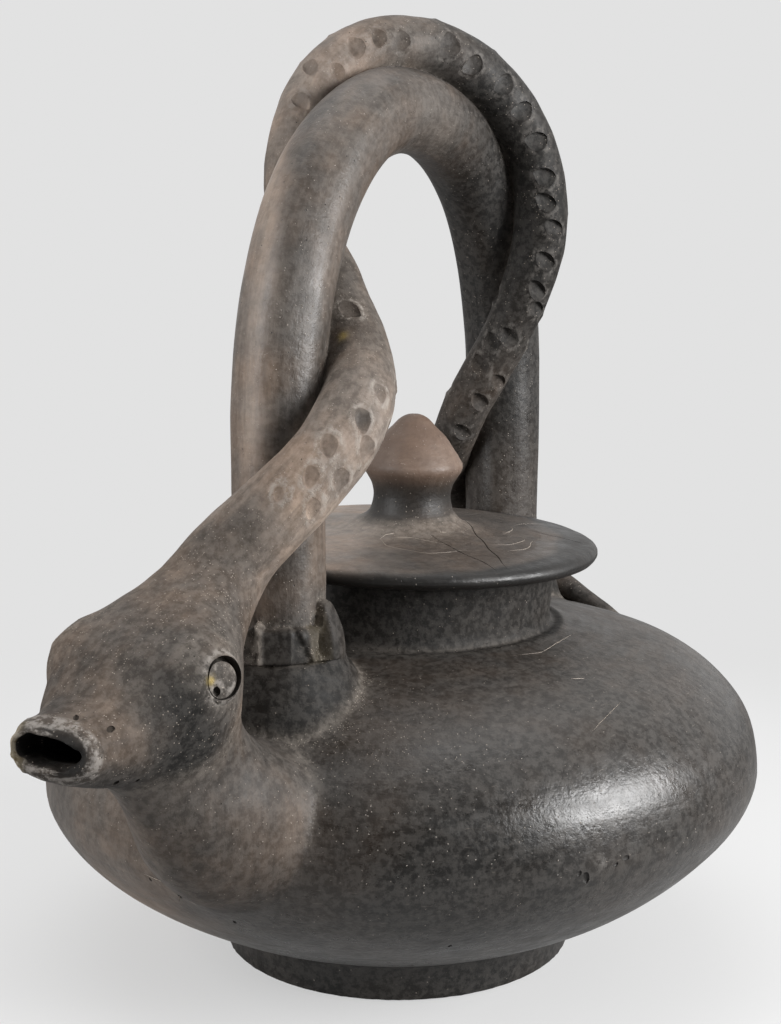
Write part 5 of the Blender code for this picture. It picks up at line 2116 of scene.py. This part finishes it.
@dataclass
class Studio:
    """Pale floor and backdrop, soft lights and the camera."""

    camera_at: Triple = (0.24612, -0.47565, 0.23206)
    lens: float = 59.5
    down: float = 9.70
    left: float = -0.24
    around: float = 27.36
    paper: float = 0.76
    paper_glow: float = 0.47
    paper_matt: float = 0.30
    floor_share: float = 0.30
    walls: float = 0.40
    dim_share: float = 0.15
    ceiling: float = 0.25
    floor_r: float = 3.0
    floor_sides: int = 64

    def direction(self, right: float, toward: float, up: float) -> Vector:
        """A vector given by what is right of, toward and above the camera's view."""
        c, s = math.cos(math.radians(self.around)), math.sin(math.radians(self.around))
        return Vector((right * c + toward * s, right * s - toward * c, up))

    def camera(self) -> Object:
        """The camera at the photograph's angle."""
        data = bpy.data.cameras.new("view")
        data.sensor_width = 36.0
        data.lens = self.lens
        data.clip_start = 0.01
        data.clip_end = 50.0
        pitch, yaw = math.radians(self.down), math.radians(self.left)
        ahead = (math.sin(yaw) * math.cos(pitch), math.cos(yaw) * math.cos(pitch), -math.sin(pitch))
        forward = self.direction(ahead[0], -ahead[1], ahead[2])
        bpy.context.scene.camera = self.aimed("view", data, Vector(self.camera_at), forward)
        return bpy.context.scene.camera

    @staticmethod
    def aimed(name: str, data: bpy.types.ID, at: Vector, way: Vector) -> Object:
        """A camera or light at a place, facing a way."""
        obj = added(name, data)
        obj.matrix_world = Matrix.LocRotScale(at, way.to_track_quat("-Z", "Y"), Vector((1, 1, 1)))
        return obj

    def light(self, name: str, at: Vector, look: Vector, size: tuple[float, float], power: float) -> Object:
        """A large soft light.

        Args:
            name: Its name.
            at: Where it hangs.
            look: What it faces.
            size: Width and height in metres.
            power: Watts.

        Returns:
            The light.
        """
        data = bpy.data.lights.new(name, "AREA")
        data.shape = "RECTANGLE"
        data.size, data.size_y = size
        data.energy = power
        return self.aimed(name, data, at, look - at)

    def lights(self) -> None:
        """A large softbox on the right, a fainter panel on the left and a faint one overhead."""
        middle = Vector((0, 0, 0.08))
        self.light("right", middle + self.direction(0.865, 0.395, 0.355), middle, (0.64, 0.44), 16.5)
        self.light("left", middle + self.direction(-0.83, 0.52, 0.38), middle, (0.34, 0.90), 7.5)
        self.light("overhead", middle + self.direction(-0.1, -0.25, 1.2), middle, (1.10, 0.90), 4.0)

    def paper_material(self) -> Material:
        """Pale lit paper near the object that runs out into the backdrop's even tone."""
        made = bpy.data.materials.new("paper")
        made.use_nodes = True
        made.node_tree.nodes.clear()
        graph = Graph(made.node_tree)
        place = graph.add("ShaderNodeTexCoord").outputs["Object"]
        far = graph.feed(graph.add("ShaderNodeVectorMath", operation="LENGTH"), place)
        fade = graph.span(far.outputs["Value"], 0.16, 0.42)
        matt = graph.add("ShaderNodeBsdfDiffuse", Color=rgb(*[self.paper_matt] * 3))
        seen = graph.add("ShaderNodeLightPath").outputs["Is Camera Ray"]
        share = graph.plus(graph.times(seen, 1 - self.floor_share), self.floor_share)
        lit = graph.times(share, self.paper_glow)
        glow = graph.add("ShaderNodeEmission", Color=rgb(1, 1, 1), Strength=lit)
        near = graph.feed(graph.add("ShaderNodeAddShader"), matt.outputs[0], glow.outputs[0])
        whole = graph.times(share, self.paper)
        even = graph.add("ShaderNodeEmission", Color=rgb(1, 1, 1), Strength=whole)
        mix = graph.feed(graph.add("ShaderNodeMixShader"), fade, near.outputs[0], even.outputs[0])
        graph.add("ShaderNodeOutputMaterial", Surface=mix.outputs[0])
        return made

    def floor(self) -> Object:
        """The floor that the object stands on."""
        turn = turns(self.floor_sides)
        points = self.floor_r * np.stack([np.cos(turn), np.sin(turn), 0 * turn], -1)
        mesh = bpy.data.meshes.new("floor")
        mesh.from_pydata(points.tolist(), [], [list(range(self.floor_sides))])
        mesh.materials.append(self.paper_material())
        return added("floor", mesh)

    def world(self) -> None:
        """The backdrop's even tone, and for the object a room that is dim before it and bright above."""
        made = bpy.data.worlds.new("studio")
        made.use_nodes = True
        tree = made.node_tree
        tree.nodes.clear()
        graph = Graph(tree)
        way = graph.add("ShaderNodeTexCoord").outputs["Generated"]
        facing = graph.dot(way, tuple(self.direction(0.0, 1.0, 0.0)))
        walls = graph.span(facing, -0.9, -0.2, self.paper, self.walls)
        walls = graph.times(walls, graph.span(facing, -0.1, 0.75, 1.0, self.dim_share))
        above = graph.span(graph.dot(way, (0.0, 0.0, 1.0)), 0.3, 0.95, 0.0, self.ceiling)
        felt = graph.add("ShaderNodeBackground", Color=rgb(1, 1, 1), Strength=graph.plus(walls, above))
        shown = graph.add("ShaderNodeBackground", Color=rgb(1, 1, 1), Strength=self.paper)
        seen = graph.add("ShaderNodeLightPath").outputs["Is Camera Ray"]
        mix = graph.feed(graph.add("ShaderNodeMixShader"), seen, felt.outputs[0], shown.outputs[0])
        graph.add("ShaderNodeOutputWorld", Surface=mix.outputs[0])
        bpy.context.scene.world = made

    def build(self) -> Object:
        """Sets everything up and returns the floor."""
        self.world()
        self.lights()
        self.camera()
        bpy.context.scene.view_settings.view_transform = "Standard"
        return self.floor()


def corners(box: tuple) -> list[list[float]]:
    """A box as plain lists."""
    return [list(corner) for corner in box]


def main() -> None:
    """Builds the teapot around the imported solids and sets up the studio."""
    logging.basicConfig(level=logging.INFO, format="%(name)s: %(message)s", stream=sys.stdout)
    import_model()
    groups = {"burnish": burnish_group(), "smoke": smoke_group(), "grit": grit_group()}
    pot = Pot().build(SmokedClay("smoked_clay", groups).material())
    LOG.info("pot: %d faces", len(pot.data.polygons))
    worn_clay = SmokedClay("lid_clay_worn", groups, ochre=rgb(0.21, 0.125, 0.085), clouds=30.0, burnished=0.4)
    lid = Lid().build(worn_clay.material())
    LOG.info("lid: %d faces", len(lid.data.polygons))
    for piece, node in ((pot, "pot"), (lid, "lid")):
        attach(piece, "root")
        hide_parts(node)
    Studio().build()
    LOG.info("studio set")


if __name__ == "__main__":
    main()
